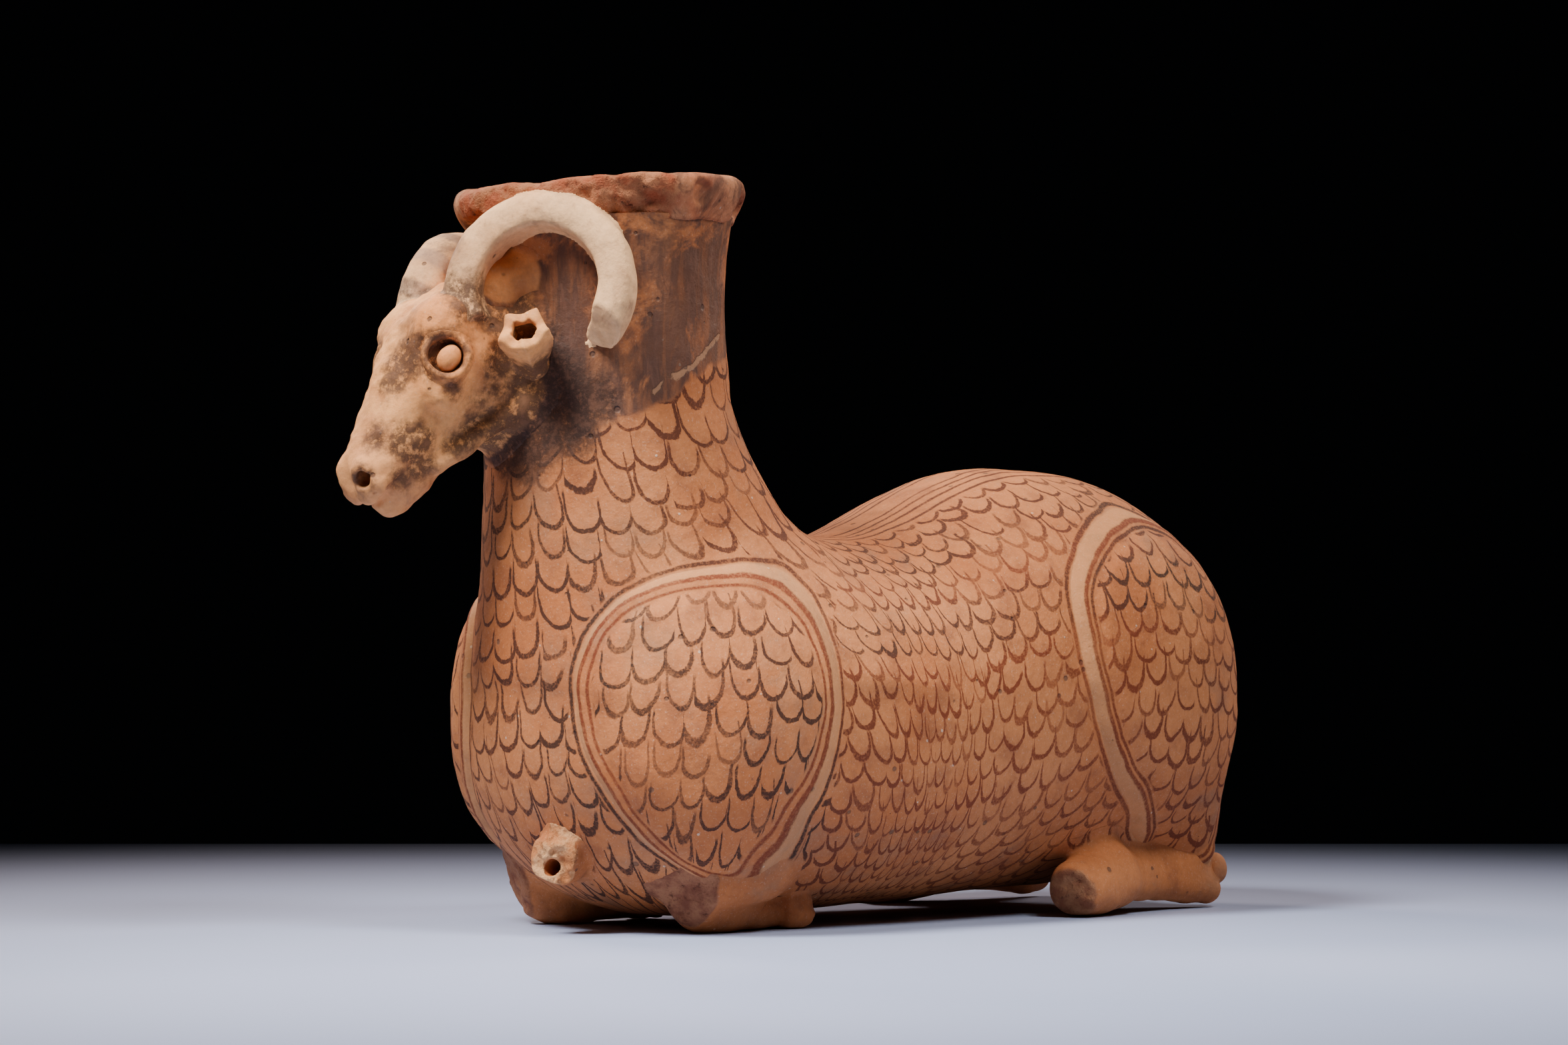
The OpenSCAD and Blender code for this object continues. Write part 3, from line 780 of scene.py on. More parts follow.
def open_end(field, height):
    def capped(p):
        return np.maximum(field(p), along_neck(p)[2] - height)
    return capped


outer_points, outer_quads = surface(open_end(skin, 62), box_low, box_high, step)
inner_points, inner_quads = surface(
    open_end(lambda p: skin(p, WALL), 64), box_low, box_high, step * 1.5
)
shell = mesh_from(
    "shell",
    np.concatenate([outer_points, inner_points]),
    np.concatenate([outer_quads, inner_quads[:, ::-1] + len(outer_points)]),
)
print("shell:", len(outer_points), "points outside,", len(inner_points), "inside")

lean_up = np.array([0, -math.sin(LEAN), math.cos(LEAN)])
neck_foot = np.array([0, NECK_Y, NECK_Z])
neck_top = neck_foot + NECK_LENGTH * lean_up
rising = math.radians(12)
collar_point = np.array([0, NECK_FRONT, NECK_Z - 59])
collar_up = np.array([0, -math.sin(rising), math.cos(rising)])
behind_chest = ((0, SEAM_CHEST, 0), (0, 1, 0))
WALL_CUTS = {
    "chest_wall": [behind_chest, (collar_point, collar_up)],
    "collar": [behind_chest, (collar_point, -collar_up), (neck_foot, lean_up)],
    "neck": [behind_chest, (neck_foot, -lean_up), (neck_top, lean_up)],
    "barrel_wall": [((0, SEAM_CHEST, 0), (0, -1, 0)), ((0, SEAM_RUMP, 0), (0, 1, 0))],
    "rump_wall": [((0, SEAM_RUMP, 0), (0, -1, 0))],
}
for name, planes in WALL_CUTS.items():
    mesh = cut_mesh(shell, planes)
    keep(name, mesh, "dark_slip" if name == "neck" else "salmon_clay")
    print(name, len(mesh.vertices), "points")

# %% [markdown]
# ## Press the other pieces on
#
# Each added piece is its own closed solid. It takes the fillet with it: it starts a
# little under the surface it is pressed on, and its edge runs out over that surface.


# %% Draw the added pieces
# share of the fillet's width over which a piece runs out on the clay it is pressed on
SKIRT = 0.82


def pressed_on(field, base, fillet=5.0, sunk=1.6):
    """The field of a piece that is luted on to a base form."""
    def luted(p):
        own = field(p)
        under = base(p)
        form = join(own, under, fillet)
        form = np.maximum(form, -(under + sunk))
        return np.maximum(form, own - SKIRT * fillet)
    return luted


def around(centre, reach):
    centre = np.array(centre, float)
    return centre - reach, centre + reach


def add(name, field, low, high, step, slot, own=None):
    own_forms[name] = own
    points, quads = surface(field, low, high, step * (1))
    piece = keep(name, mesh_from(name, points, quads), slot)
    print(name, len(points), "points")
    return piece


add("lip", lip_form, neck_top - (52, 54, 6), neck_top + (52, 54, 18), 0.9, "fractured_clay")
add("head", pressed_on(head_form, skin, 7), *around((-8, -133, 180), (34, 52, 50)), 0.85, "buff_clay",
    head_form)


def skull_and_neck(p):
    stem = np.maximum(skin(p), along_neck(p)[2] - NECK_LENGTH)
    return np.minimum(join(head_form(p), stem, 3), lip_form(p))


for name, side in SIDES.items():
    add(name + "_horn", pressed_on(on_side(horn_form, side), skull_and_neck, 1.2),
        *around(off_head(HORN_MIDDLE[side][None])[0], (36, 36, 34)), 0.75, "buff_clay")
    root = off_head(np.array([[side * 26, 40, 182]]))[0]
    add(name + "_ear", pressed_on(on_side(ear_form, side), head_form, 2.5),
        *around(root, (22, 22, 22)), 0.6, "buff_clay")
    eye_at = off_face((side * EYE[0], EYE[1], EYE[2]))[0]
    add(name + "_eyelid", pressed_on(on_side(eyelid_form, side), head_form, 1.6, 1.0),
        *around(eye_at, (12, 12, 12)), 0.45, "buff_clay")
    add(name + "_eye", on_side(eye_form, side), *around(eye_at, (7, 7, 7)), 0.4, "buff_clay")

add("poll_bridge", pressed_on(poll_form, skull_and_neck, 5),
    *around(off_head(np.array([[6, POLL_OUT - 8, 206]]))[0], (26, 22, 20)), 0.8, "buff_clay", poll_form)


def add_limb(name, form, base, fillet, low, high, step, slot="salmon_clay"):
    add(name, pressed_on(form, base, fillet), low, high, step, slot, form)


def skin_and(form, fillet):
    return lambda p: join(skin(p), form(p), fillet)


for name, side in SIDES.items():
    inner, outer = sorted((side * 2, side * 80))
    add(name + "_shoulder", lambda p, s=side: pad_form(p, s, shoulder_edge, 3.4),
        (inner, FRONT - 6, 4), (outer, FRONT + 96, 122), 1.3, "salmon_clay")
    add(name + "_haunch", lambda p, s=side: pad_form(p, s, haunch_edge, 3.0),
        (inner, REAR - 118, 4), (outer, REAR + 4, 146), 1.5, "salmon_clay")
    root = np.array([side * 33, FORE_Y[side], 0])
    shank = on_side(fore_shank_form, side)
    add_limb(name + "_fore_shank", shank, skin, 2.5, root + (-16, -14, -2), root + (16, 48, 22), 0.8)
    add_limb(name + "_foreleg", on_side(foreleg_form, side), skin_and(shank, 3), 5,
             root + (-26, -30, -2), root + (26, 34, 44), 0.7, "fractured_clay")
    add_limb(name + "_fore_hoof", on_side(fore_hoof_form, side), skin_and(shank, 2), 1,
             root + (side * -5 - 13, 27, -2), root + (side * -5 + 13, 53, 18), 0.6)
    root = np.array([side * HIND_X, HIND_Y, 0])
    shank = on_side(hind_shank_form, side)
    add_limb(name + "_hind_shank", shank, skin, 8,
             root + (side * -8 - 22, -4, -2), root + (side * -8 + 22, 92, 30), 0.9)
    add_limb(name + "_hind_knee", on_side(hind_knee_form, side), skin_and(shank, 3), 8,
             root + (-20, -18, -2), root + (20, 38, 36), 0.7, "fractured_clay")
    add_limb(name + "_hock", on_side(hock_form, side), skin_and(shank, 2), 0.9,
             mirrored(HOCK, side) - 9, mirrored(HOCK, side) + 9, 0.45)

add_limb("chest_spout", spout_form, skin, 3, SPOUT - 18, SPOUT + 18, 0.6, "fractured_clay")
add("tail", tail_form, (-14, REAR - 46, 50), (14, REAR + 8, 124), 1.0, "salmon_clay", tail_form)

# %% [markdown]
# ## Where the paint goes
#
# The painter worked in zones. Round the neck and chest the rows of scales lie level;
# along the flank they hang from the spine; inside the shoulder band they start afresh.
# Each point of the pot keeps its place in those rows, its distance from the painted
# bands, and how much dark slip, soot and painted shade it carries, all in mm or shares.


# %% Note the painter's measures on every point
# where soot lies on the face: before and under the eye, on the brow, below the ear, along
# the jaw and by the mouth; each is (|X|, S, N) and a size in mm
SOOT_ON_FACE = [((12.5, 36.5, -6.5), 6.4), ((11, 42, -6.8), 7.0), ((9.8, 49, -6.4), 4.6),
                ((19, 35, 0.5), 7.8), ((21, 41.5, 8), 3.2), ((18.5, 19, -1), 6.0),
                ((15, 13.5, -2.5), 7.6), ((20, 15, 5), 5.6),
                ((19.5, 26, 18), 6.5), ((18.5, 34, 22), 4.0), ((18.4, 39, 20.7), 3.2),
                ((14.4, 46, 23.5), 4.4), ((12, 53, 22.3), 4.0), ((13.6, 62, 9.5), 7.2),
                ((9.1, 67, -1.9), 4.2), ((11.4, 66, 16.0), 5.0), ((11.6, 73, 13.0), 4.0),
                ((9.0, 79, 2.5), 3.2),
                ((16, 28, 34), 9), ((12, 42, 31), 6)]
# and on the neck round the jaw, where it is soot; each is a place seen from the head.
# The last three lie on the neck inside the loop of the horns and are painted shade there.
SOOT_AND_SHADE_ON_NECK = [((27, 29, 161), 13), ((33, 20, 168), 9), ((18, 36, 152), 11), ((9, 40, 152), 9),
                ((22, 32, 172), 14), ((10, 40, 160), 12), ((-22, 32, 156), 14), ((-24, 28, 170), 12),
                # painted shade: the neck inside the horns' loop is darkened as its shadow
                ((12, 40, 192), 13), ((20, 34, 184), 10), ((9, 30, 200), 12)]
# a crack that runs up round the left side of the neck
CRACK = [(38.2, -94.2, 171), (39.4, -87.2, 176.6), (38.9, -77.5, 181.4), (33.5, -63.6, 189.6)]


# soot and painted-shade distance in mm of a spot that stays clean, and the mark of a spot with no mark near
CLEAN = 30
NO_MARK = 99


def paint_places(p):
    """The painter's measures at each point, three to a name."""
    x, y, z = p.T
    near = np.abs(x)
    deep_z = np.maximum(z, 88)
    across, deep = collar_radii(deep_z)
    middle = NECK_FRONT + 5 * ease((108 - deep_z) / 40) + deep
    round_neck = np.arctan2(x / across, (middle - y) / deep)
    back, belly = back_and_belly(y)
    down = np.arctan2(near, (z - (back + belly) / 2) * 1.02) * 74
    lean_back = 0.32 * (1 - ease((y + 30) / 55))
    flank = np.stack([y + 200 - lean_back * down * (y < 30), down, np.zeros(len(p))], axis=1)
    d_shoulder = shoulder_edge(p)
    d_haunch = haunch_edge(p)
    flank_start = -50 + 14 * ease((z - 92) / 22)
    neck = np.stack([round_neck, 240 - z, ease((y - flank_start) / 8)], axis=1)
    # inside the shoulder band the rows start afresh
    inside = d_shoulder < -6
    turn = np.arctan2(near - 14, -(y - FRONT - 62))
    neck[inside, 0] = turn[inside]
    neck[inside, 1] = 241.5 - z[inside] - 3 * np.cos(2 * turn[inside])
    neck[inside, 2] = 0
    slip_edge = 146 + 0.28 * np.abs(np.degrees(round_neck)) + 3.5 * lumps(p, 13, 91) + 1.5 * lumps(p, 5, 94)
    slip = (z - slip_edge) / 10
    # soot from the lists above; inside the horns' loop the same measure is painted shade
    soot_and_shade = np.full(len(p), float(CLEAN))
    for seen, patches in ((fold(on_face(p)), SOOT_ON_FACE), (on_head(p), SOOT_AND_SHADE_ON_NECK)):
        for where, size in patches:
            soot_and_shade = np.minimum(soot_and_shade, ball(seen, where, size))
    soot_and_shade = soot_and_shade + 1.6 * lumps(p, 9, 92) + 1.0 * lumps(p, 4, 93)
    return {
        "neck_rows": neck,
        "flank_rows": flank,
        "bands": np.stack([d_shoulder, d_haunch, down], axis=1),
        "stain_and_shade": np.stack([slip, soot_and_shade, np.full(len(p), -9.0)], axis=1),
    }


def horn_rings(p, side):
    """Place along a horn in turns of 25 degrees, for the grey rings that were painted on it."""
    a, b, n = horn_frame(p, side).T
    return np.degrees(np.arctan2(b, a)) / 25 + 0.02 * n


LIMBS = ("foreleg", "fore_shank", "fore_hoof", "hind_knee", "hind_shank", "hock")


def off_the_piece(name, points):
    """How far points lie outside a piece, or outside all the limbs of its side, in mm."""
    forms = [own_forms[name]]
    side, _, part = name.partition("_")
    if part in LIMBS:
        forms = [own_forms[side + "_" + limb] for limb in LIMBS]
    return np.min([form(points) for form in forms], axis=0)


for name, piece in made.items():
    mesh = piece.data
    points = points_of(mesh)
    places = paint_places(points)
    if name in BREAKS:
        places["stain_and_shade"][:, 2] = BREAKS[name](points)
    # how far a point lies outside the piece itself, on the clay that was smeared from it
    if own_forms.get(name):
        smeared = ease(off_the_piece(name, points) / 2.5 - 0.5)
    else:
        smeared = np.full(len(points), 0.0 if piece["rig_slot"] == "buff_clay" else 1.0)
    if name.endswith("_eye"):
        places["stain_and_shade"][:, 1] = CLEAN
    if name == "poll_bridge":
        places["stain_and_shade"][:, 1] += 9
    # painted shade: the hollow inside each ear is darkened through the soot measure
    if name.endswith("_ear"):
        across, up, out = ear_frame(points, SIDES[name.partition("_")[0]]).T
        places["stain_and_shade"][(np.hypot(across, up) < 5.2) & (out < 19), 1] = -6
    # the last measure is the rings on a horn, or how near a point of the neck is to the crack
    if name in ("neck", "collar"):
        jagged = points + 1.6 * np.stack([lumps(points, 5, 95 + k) for k in range(3)], axis=1)
        mark = np.min([roll(jagged, a, b, 0.9, 0.9) for a, b in zip(CRACK, CRACK[1:])], axis=0)
    else:
        mark = np.full(len(points), -NO_MARK if piece["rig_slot"] == "buff_clay" else NO_MARK)
    if name == "right_horn":
        mark = horn_rings(points, -1)
    places["zone"] = np.stack([smeared, on_face(points)[:, 1], mark], axis=1)
    for layer, values in places.items():
        attribute = mesh.attributes.new(layer, "FLOAT_VECTOR", "POINT")
        attribute.data.foreach_set("vector", values.astype(np.float32).ravel())
    mesh.vertices.foreach_set("co", (hand(points) * MM).astype(np.float32).ravel())
    mesh.polygons.foreach_set("use_smooth", np.ones(len(mesh.polygons), bool))
    mesh.update()
print(len(made), "pieces carry the painter's measures")

# %% [markdown]
# ## How the clay and the paint look
#
# The clay is a fine salmon body with sand, small pits and pale specks. The paint is thin
# slip, brushed on and half worn away: it sinks into the clay, thins out where the brush
# lifted, and changes from rust to dark brown with its thickness. The effects that more
# than one finish uses are node groups; each finish then has its own shader.


# %% Short words for shader nodes
class Value:
    """The output of a node, which can be used in plain sums."""

    def __init__(self, nodes, socket):
        self.nodes = nodes
        self.socket = socket

    def __abs__(self):
        return self.nodes.math("ABSOLUTE", self)

    def clamped(self):
        return self.nodes.math("ADD", self, 0, clamp=True)


SIGNS = {"add": "ADD", "sub": "SUBTRACT", "mul": "MULTIPLY", "truediv": "DIVIDE", "pow": "POWER"}
for sign, operation in SIGNS.items():
    setattr(Value, f"__{sign}__", lambda a, b, name=operation: a.nodes.math(name, a, b))
    setattr(Value, f"__r{sign}__", lambda a, b, name=operation: a.nodes.math(name, b, a))


class Nodes:
    """Adds nodes to a tree and links them; numbers are set on the socket itself."""

    def __init__(self, tree):
        self.tree = tree

    def add(self, kind, **settings):
        node = self.tree.nodes.new(kind)
        for key, value in settings.items():
            setattr(node, key, value)
        return node

    def out(self, node, which=0):
        return Value(self, node.outputs[which])

    def put(self, value, socket):
        if isinstance(value, Value):
            self.tree.links.new(value.socket, socket)
        else:
            socket.default_value = colour(value) if isinstance(value, str) else value

    def math(self, operation, a, b=0, clamp=False):
        node = self.add("ShaderNodeMath", operation=operation, use_clamp=clamp)
        for value, socket in zip((a, b), node.inputs):
            self.put(value, socket)
        return self.out(node)

    def larger(self, a, b):
        return self.math("MAXIMUM", a, b)

    def step(self, value, low, high):
        """Rises smoothly from 0 at low to 1 at high; falls if low is above high."""
        node = self.add("ShaderNodeMapRange", interpolation_type="SMOOTHSTEP")
        falling = not isinstance(low, Value) and not isinstance(high, Value) and low > high
        self.put(value, node.inputs["Value"])
        self.put(high if falling else low, node.inputs["From Min"])
        self.put(low if falling else high, node.inputs["From Max"])
        node.inputs["To Min"].default_value = 1 if falling else 0
        node.inputs["To Max"].default_value = 0 if falling else 1
        return self.out(node)

    def texture(self, kind, place, settings):
        node = self.add(kind)
        self.put(place, node.inputs["Vector"])
        for key, value in settings.items():
            node.inputs[key].default_value = value
        return node

    def noise(self, place, scale, detail=3, roughness=0.5, distortion=0):
        settings = {"Scale": scale, "Detail": detail, "Roughness": roughness, "Distortion": distortion}
        return self.out(self.texture("ShaderNodeTexNoise", place, settings), "Fac")

    def drift(self, place, scale):
        """Three noises at once, to push a brush line about."""
        return self.split(self.out(self.texture("ShaderNodeTexNoise", place, {"Scale": scale}), "Color"))

    def cells(self, place, scale):
        """Distance from the middle of the nearest cell, and its random colour."""
        node = self.texture("ShaderNodeTexVoronoi", place, {"Scale": scale})
        return self.out(node, "Distance"), self.split(self.out(node, "Color"))

    def random(self, place):
        """Three random numbers for a place."""
        node = self.add("ShaderNodeTexWhiteNoise", noise_dimensions="3D")
        self.put(place, node.inputs["Vector"])
        return self.split(self.out(node, "Color"))

    def split(self, vector):
        node = self.add("ShaderNodeSeparateXYZ")
        self.put(vector, node.inputs[0])
        return [self.out(node, axis) for axis in range(3)]

    def vector(self, x, y, z):
        node = self.add("ShaderNodeCombineXYZ")
        for value, socket in zip((x, y, z), node.inputs):
            self.put(value, socket)
        return self.out(node)

    def blend(self, share, a, b, blend_type="MIX"):
        node = self.add("ShaderNodeMix", data_type="RGBA", blend_type=blend_type)
        self.put(share, node.inputs["Factor"])
        self.put(a, node.inputs["A"])
        self.put(b, node.inputs["B"])
        return self.out(node, "Result")

    def place(self):
        return self.out(self.add("ShaderNodeTexCoord"), "Object")

    def layer(self, name):
        """The three measures that every point carries under that name."""
        return self.split(self.out(self.add("ShaderNodeAttribute", attribute_name=name), "Vector"))

    def group(self, tree, **values):
        node = self.add("ShaderNodeGroup", node_tree=tree)
        for key, value in values.items():
            self.put(value, node.inputs[key])
        return {socket.name: Value(self, socket) for socket in node.outputs}


def new_group(name, inputs, outputs):
    """An empty group; inputs and outputs are {name: socket type}."""
    tree = bpy.data.node_groups.new(name, "ShaderNodeTree")
    for key, kind in inputs.items():
        tree.interface.new_socket(key, in_out="INPUT", socket_type=kind)
    for key, kind in outputs.items():
        tree.interface.new_socket(key, in_out="OUTPUT", socket_type=kind)
    n = Nodes(tree)
    given = {key: n.out(n.add("NodeGroupInput"), key) for key in inputs}
    return tree, n, given, n.add("NodeGroupOutput").inputs


NUMBER = "NodeSocketFloat"
COLOUR = "NodeSocketColor"


def colour(hex_code):
    """Linear colour from the usual six hex digits."""
    rgb = [int(hex_code[i : i + 2], 16) / 255 for i in (0, 2, 4)]
    return tuple(c / 12.92 if c <= 0.04045 else ((c + 0.055) / 1.055) ** 2.4 for c in rgb) + (1,)


# %% [markdown]
# ### Scale strokes
#
# The painter drew each scale as one U with a pointed brush, row under row, each row
# shifted by half a scale. One group draws every second row; it is used twice, so that
# the long strokes may reach into the next row.

# %% A group that paints every second row of scales
row_pair, n, given, result = new_group(
    "every second row of scales",
    {"Along": NUMBER, "Down": NUMBER, "Per Down": NUMBER, "At Top": NUMBER, "Shift": NUMBER,
     "Width": NUMBER, "Rows": NUMBER, "Rough": NUMBER},
    {"Stroke": NUMBER, "Ink": NUMBER},
)
in_rows = given["Down"] / given["Rows"] + given["Shift"] * 0.5
row = n.math("FLOOR", in_rows)
below = n.math("FRACT", in_rows) * given["Rows"]
row_random = n.random(n.vector(row, given["Shift"], 7.0))
row_depth = (row - given["Shift"] * 0.5) * given["Rows"]
stretch = row_depth * given["Per Down"] + given["At Top"]
along = given["Along"] * stretch / given["Width"]
along = along + (row_random[0] * 0.35 + given["Shift"] * 0.5)
column = n.math("FLOOR", along)
cell = n.random(n.vector(column, row, given["Shift"]))
cell_b = n.random(n.vector(row, column, 3.7))
sideways = (n.math("FRACT", along) - 0.5) * given["Width"]
tilt = (cell_b[0] * 0.32 - 0.16) * (below - 8)
sideways = sideways + (cell[0] * 2.2 - 1.1) + tilt
below = below + (cell[1] * 2.6 - 1.3)
half = given["Width"] * (cell[2] * 0.13 + 0.39)
tip = given["Rows"] * (cell_b[1] * 0.1 + 0.7)
bend = cell_b[2] * 2.2 + 5.4
past = n.larger(below - (tip - bend), 0) / bend
aside = sideways / half
reach = (aside * aside + past * past) ** 0.5
off_line = abs(reach - 1) * half
thick = given["Rough"] * (cell[0] * 0.7 + 0.75)
thick = thick * (n.step(below, 2, 12) * 0.55 + 0.55)
stroke = 1 - n.step(off_line, thick - 0.16, thick + 0.2)
# each leg of the U starts where the brush came down, at its own height
which_leg = n.step(aside, -0.2, 0.2) * (cell_b[1] * 9 - 4.5)
start = cell_b[0] * 4 + 1 + which_leg
fade = n.step(below - start, 0, 2.5)
n.put(stroke * fade, result["Stroke"])
n.put(cell[2] ** 0.6 * 0.42 + 0.58, result["Ink"])

# %% A group that paints both sets of rows
scales, n, given, result = new_group(
    "rows of scales",
    {"Along": NUMBER, "Down": NUMBER, "Per Down": NUMBER, "At Top": NUMBER, "Width": NUMBER,
     "Rows": NUMBER, "Rough": NUMBER},
    {"Paint": NUMBER},
)
shared = {key: given[key] for key in ("Along", "Down", "Per Down", "At Top", "Width", "Rows", "Rough")}
one = n.group(row_pair, Shift=0.0, **shared)
two = n.group(row_pair, Shift=1.0, **shared)
n.put(n.larger(one["Stroke"] * one["Ink"], two["Stroke"] * two["Ink"]), result["Paint"])

# %% [markdown]
# ### Bands
#
# The bands round the shoulder and haunch and the stripes along the spine are long pulls
# of the same brush, so they share one group: a line at a set distance that wavers.

# %% A group that paints one long line
line, n, given, result = new_group(
    "one brushed line",
    {"Distance": NUMBER, "At": NUMBER, "Half Width": NUMBER, "Rough": NUMBER, "Waver": NUMBER},
    {"Paint": NUMBER},
)
off = abs(given["Distance"] - given["At"] + (given["Waver"] * 1.2 - 0.6))
wide = given["Half Width"] * (given["Rough"] * 1.1 + 0.45)
n.put(1 - n.step(off, wide - 0.3, wide + 0.35), result["Paint"])

# %% [markdown]
# ### Clay body
#
# Fired clay is never one colour: the fire leaves broad patches, the sand and the washed
# surface leave a grain, lime leaves pale specks and burnt-out grit leaves pits.

# %% A group for bare fired clay
clay, n, given, result = new_group(
    "fired clay",
    {"Pale": COLOUR, "Warm": COLOUR, "Dull": COLOUR},
    {"Colour": COLOUR, "Height": NUMBER, "Grain": NUMBER},
)
place = n.place()
broad = n.noise(place, 16, 3, 0.55, 0.3)
middle_size = n.noise(place, 75, 4, 0.6)
fine = n.noise(place, 460, 5, 0.72)
sand = n.noise(place, 1500, 2, 0.6)
base = n.blend(n.step(broad, 0.36, 0.64), given["Pale"], given["Warm"])
base = n.blend(n.step(middle_size, 0.48, 0.72) * 0.55, base, given["Dull"])
base = n.blend(n.step(fine, 0.25, 0.85), base, n.blend(1, base, (0.8, 0.76, 0.74, 1), "MULTIPLY"))
base = n.blend(n.step(sand, 0.55, 0.8) * 0.35, base, (0.62, 0.44, 0.32, 1))
pit_distance, pit_random = n.cells(place, 210)
pit_size = n.step(pit_random[0], 0.8, 1) * 0.26
pit = 1 - n.step(pit_distance, pit_size * 0.55, pit_size + 0.001)
pit = pit * n.step(pit_size, 0.01, 0.05)
speck_distance, speck_random = n.cells(place, 330)
speck_size = n.step(speck_random[1], 0.92, 1) * 0.2
speck = 1 - n.step(speck_distance, speck_size * 0.6, speck_size + 0.001)
speck = speck * n.step(speck_size, 0.01, 0.05)
grime = n.step(n.noise(place, 21, 5, 0.7, 0.4), 0.52, 0.7) * 0.42
base = n.blend(grime, base, (0.22, 0.135, 0.085, 1))
base = n.blend(n.step(fine, 0.6, 0.74) * 0.3, base, (0.25, 0.12, 0.06, 1))
base = n.blend(pit * 0.75, base, (0.12, 0.06, 0.035, 1))
base = n.blend(speck * 0.6, base, (0.66, 0.5, 0.36, 1))
height = middle_size * 0.0007 + fine * 0.00028 + sand * 0.00004 + speck * 0.00008 - pit * 0.0004
n.put(base, result["Colour"])
n.put(height, result["Height"])
n.put(fine, result["Grain"])

# %% [markdown]
# ### Dark slip, soot and painted shade
#
# The neck was coated with a dark slip that was rubbed while damp, so it has a soft
# sheen and vertical rubbing marks. It is worn through to the clay in many places.
# Soot and dirt sit round the jaw, the eyes and the root of the neck. The same dark coat is
# painted as shade on the neck inside the horns' loop and in the ear hollows.

# %% A group for slip, soot and painted shade
coat, n, given, result = new_group(
    "dark slip, soot and painted shade",
    {"Colour": COLOUR, "Slip": NUMBER, "Soot": NUMBER},
    {"Colour": COLOUR, "Cover": NUMBER},
)
place = n.place()
stretched = n.add("ShaderNodeMapping")
stretched.inputs["Scale"].default_value = (1, 1, 0.22)
n.put(place, stretched.inputs["Vector"])
rubbed = n.noise(n.out(stretched), 170, 4, 0.65, 0.4)
worn = n.noise(place, 48, 5, 0.7, 0.5)
patch = n.noise(place, 30, 3, 0.6)
cover = given["Slip"] * n.step(worn, 0.34, 0.5)
cover = cover * (n.step(rubbed, 0.3, 0.62) * 0.45 + 0.55)
slip_colour = n.blend(n.step(patch, 0.4, 0.66), "43302A", "5E3E2E")
slip_colour = n.blend(n.step(rubbed, 0.52, 0.75) * 0.7, slip_colour, "7A5240")
coated = n.blend(cover * 0.94, given["Colour"], slip_colour)
crust = n.noise(place, 260, 5, 0.75)
soot_and_shade_patch = given["Soot"] * n.step(crust, 0.3, 0.52)
soot_and_shade_colour = n.blend(n.step(crust, 0.46, 0.64), "2E1E17", "5E3E2E")
coated = n.blend(soot_and_shade_patch * 0.86, coated, soot_and_shade_colour)
n.put(coated, result["Colour"])
n.put(n.larger(cover, soot_and_shade_patch), result["Cover"])

# %% [markdown]
# ### Broken clay
#
# Where a leg, the spout or the lip broke away, the core of the clay shows: redder or
# browner than the washed surface, crumbly, and without any sheen.

# %% A group for broken faces
fracture, n, given, result = new_group(
    "broken clay",
    {"Colour": COLOUR, "Height": NUMBER, "Beyond": NUMBER, "Core": COLOUR, "Edge": COLOUR},
    {"Colour": COLOUR, "Height": NUMBER, "Broken": NUMBER},
)
place = n.place()
crumbs = n.noise(place, 330, 5, 0.75)
chunks = n.noise(place, 120, 4, 0.7)
is_broken = n.step(given["Beyond"] + (chunks * 2.4 - 1.2), -1.3, -0.3)
core = n.blend(n.step(chunks, 0.36, 0.62), given["Core"], given["Edge"])
core = n.blend(n.step(crumbs, 0.46, 0.3), core, n.blend(1, core, (0.42, 0.36, 0.34, 1), "MULTIPLY"))
n.put(n.blend(is_broken, given["Colour"], core), result["Colour"])
relief = crumbs * 0.0012 - 0.00115 + chunks * 0.0012
n.put(is_broken * relief + given["Height"], result["Height"])
n.put(is_broken, result["Broken"])

# %% [markdown]
# ## Finishes

# %% Mix the finishes
RUST = "6E2C12"
BROWN = "22150F"


def finish(name, build):
    """A material whose shader is filled in by build, which gives colour, height, roughness."""
    material = bpy.data.materials.new(name)
    material.use_nodes = True
    n = Nodes(material.node_tree)
    shader = material.node_tree.nodes["Principled BSDF"]
    tint, height, roughness = build(n)
    bump = n.add("ShaderNodeBump")
    bump.inputs["Strength"].default_value = 1.0
    bump.inputs["Distance"].default_value = 1.0
    n.put(height, bump.inputs["Height"])
    n.put(n.out(bump), shader.inputs["Normal"])
    n.put(tint, shader.inputs["Base Color"])
    n.put(roughness, shader.inputs["Roughness"])
    shader.inputs["Specular IOR Level"].default_value = 0.28
    return material


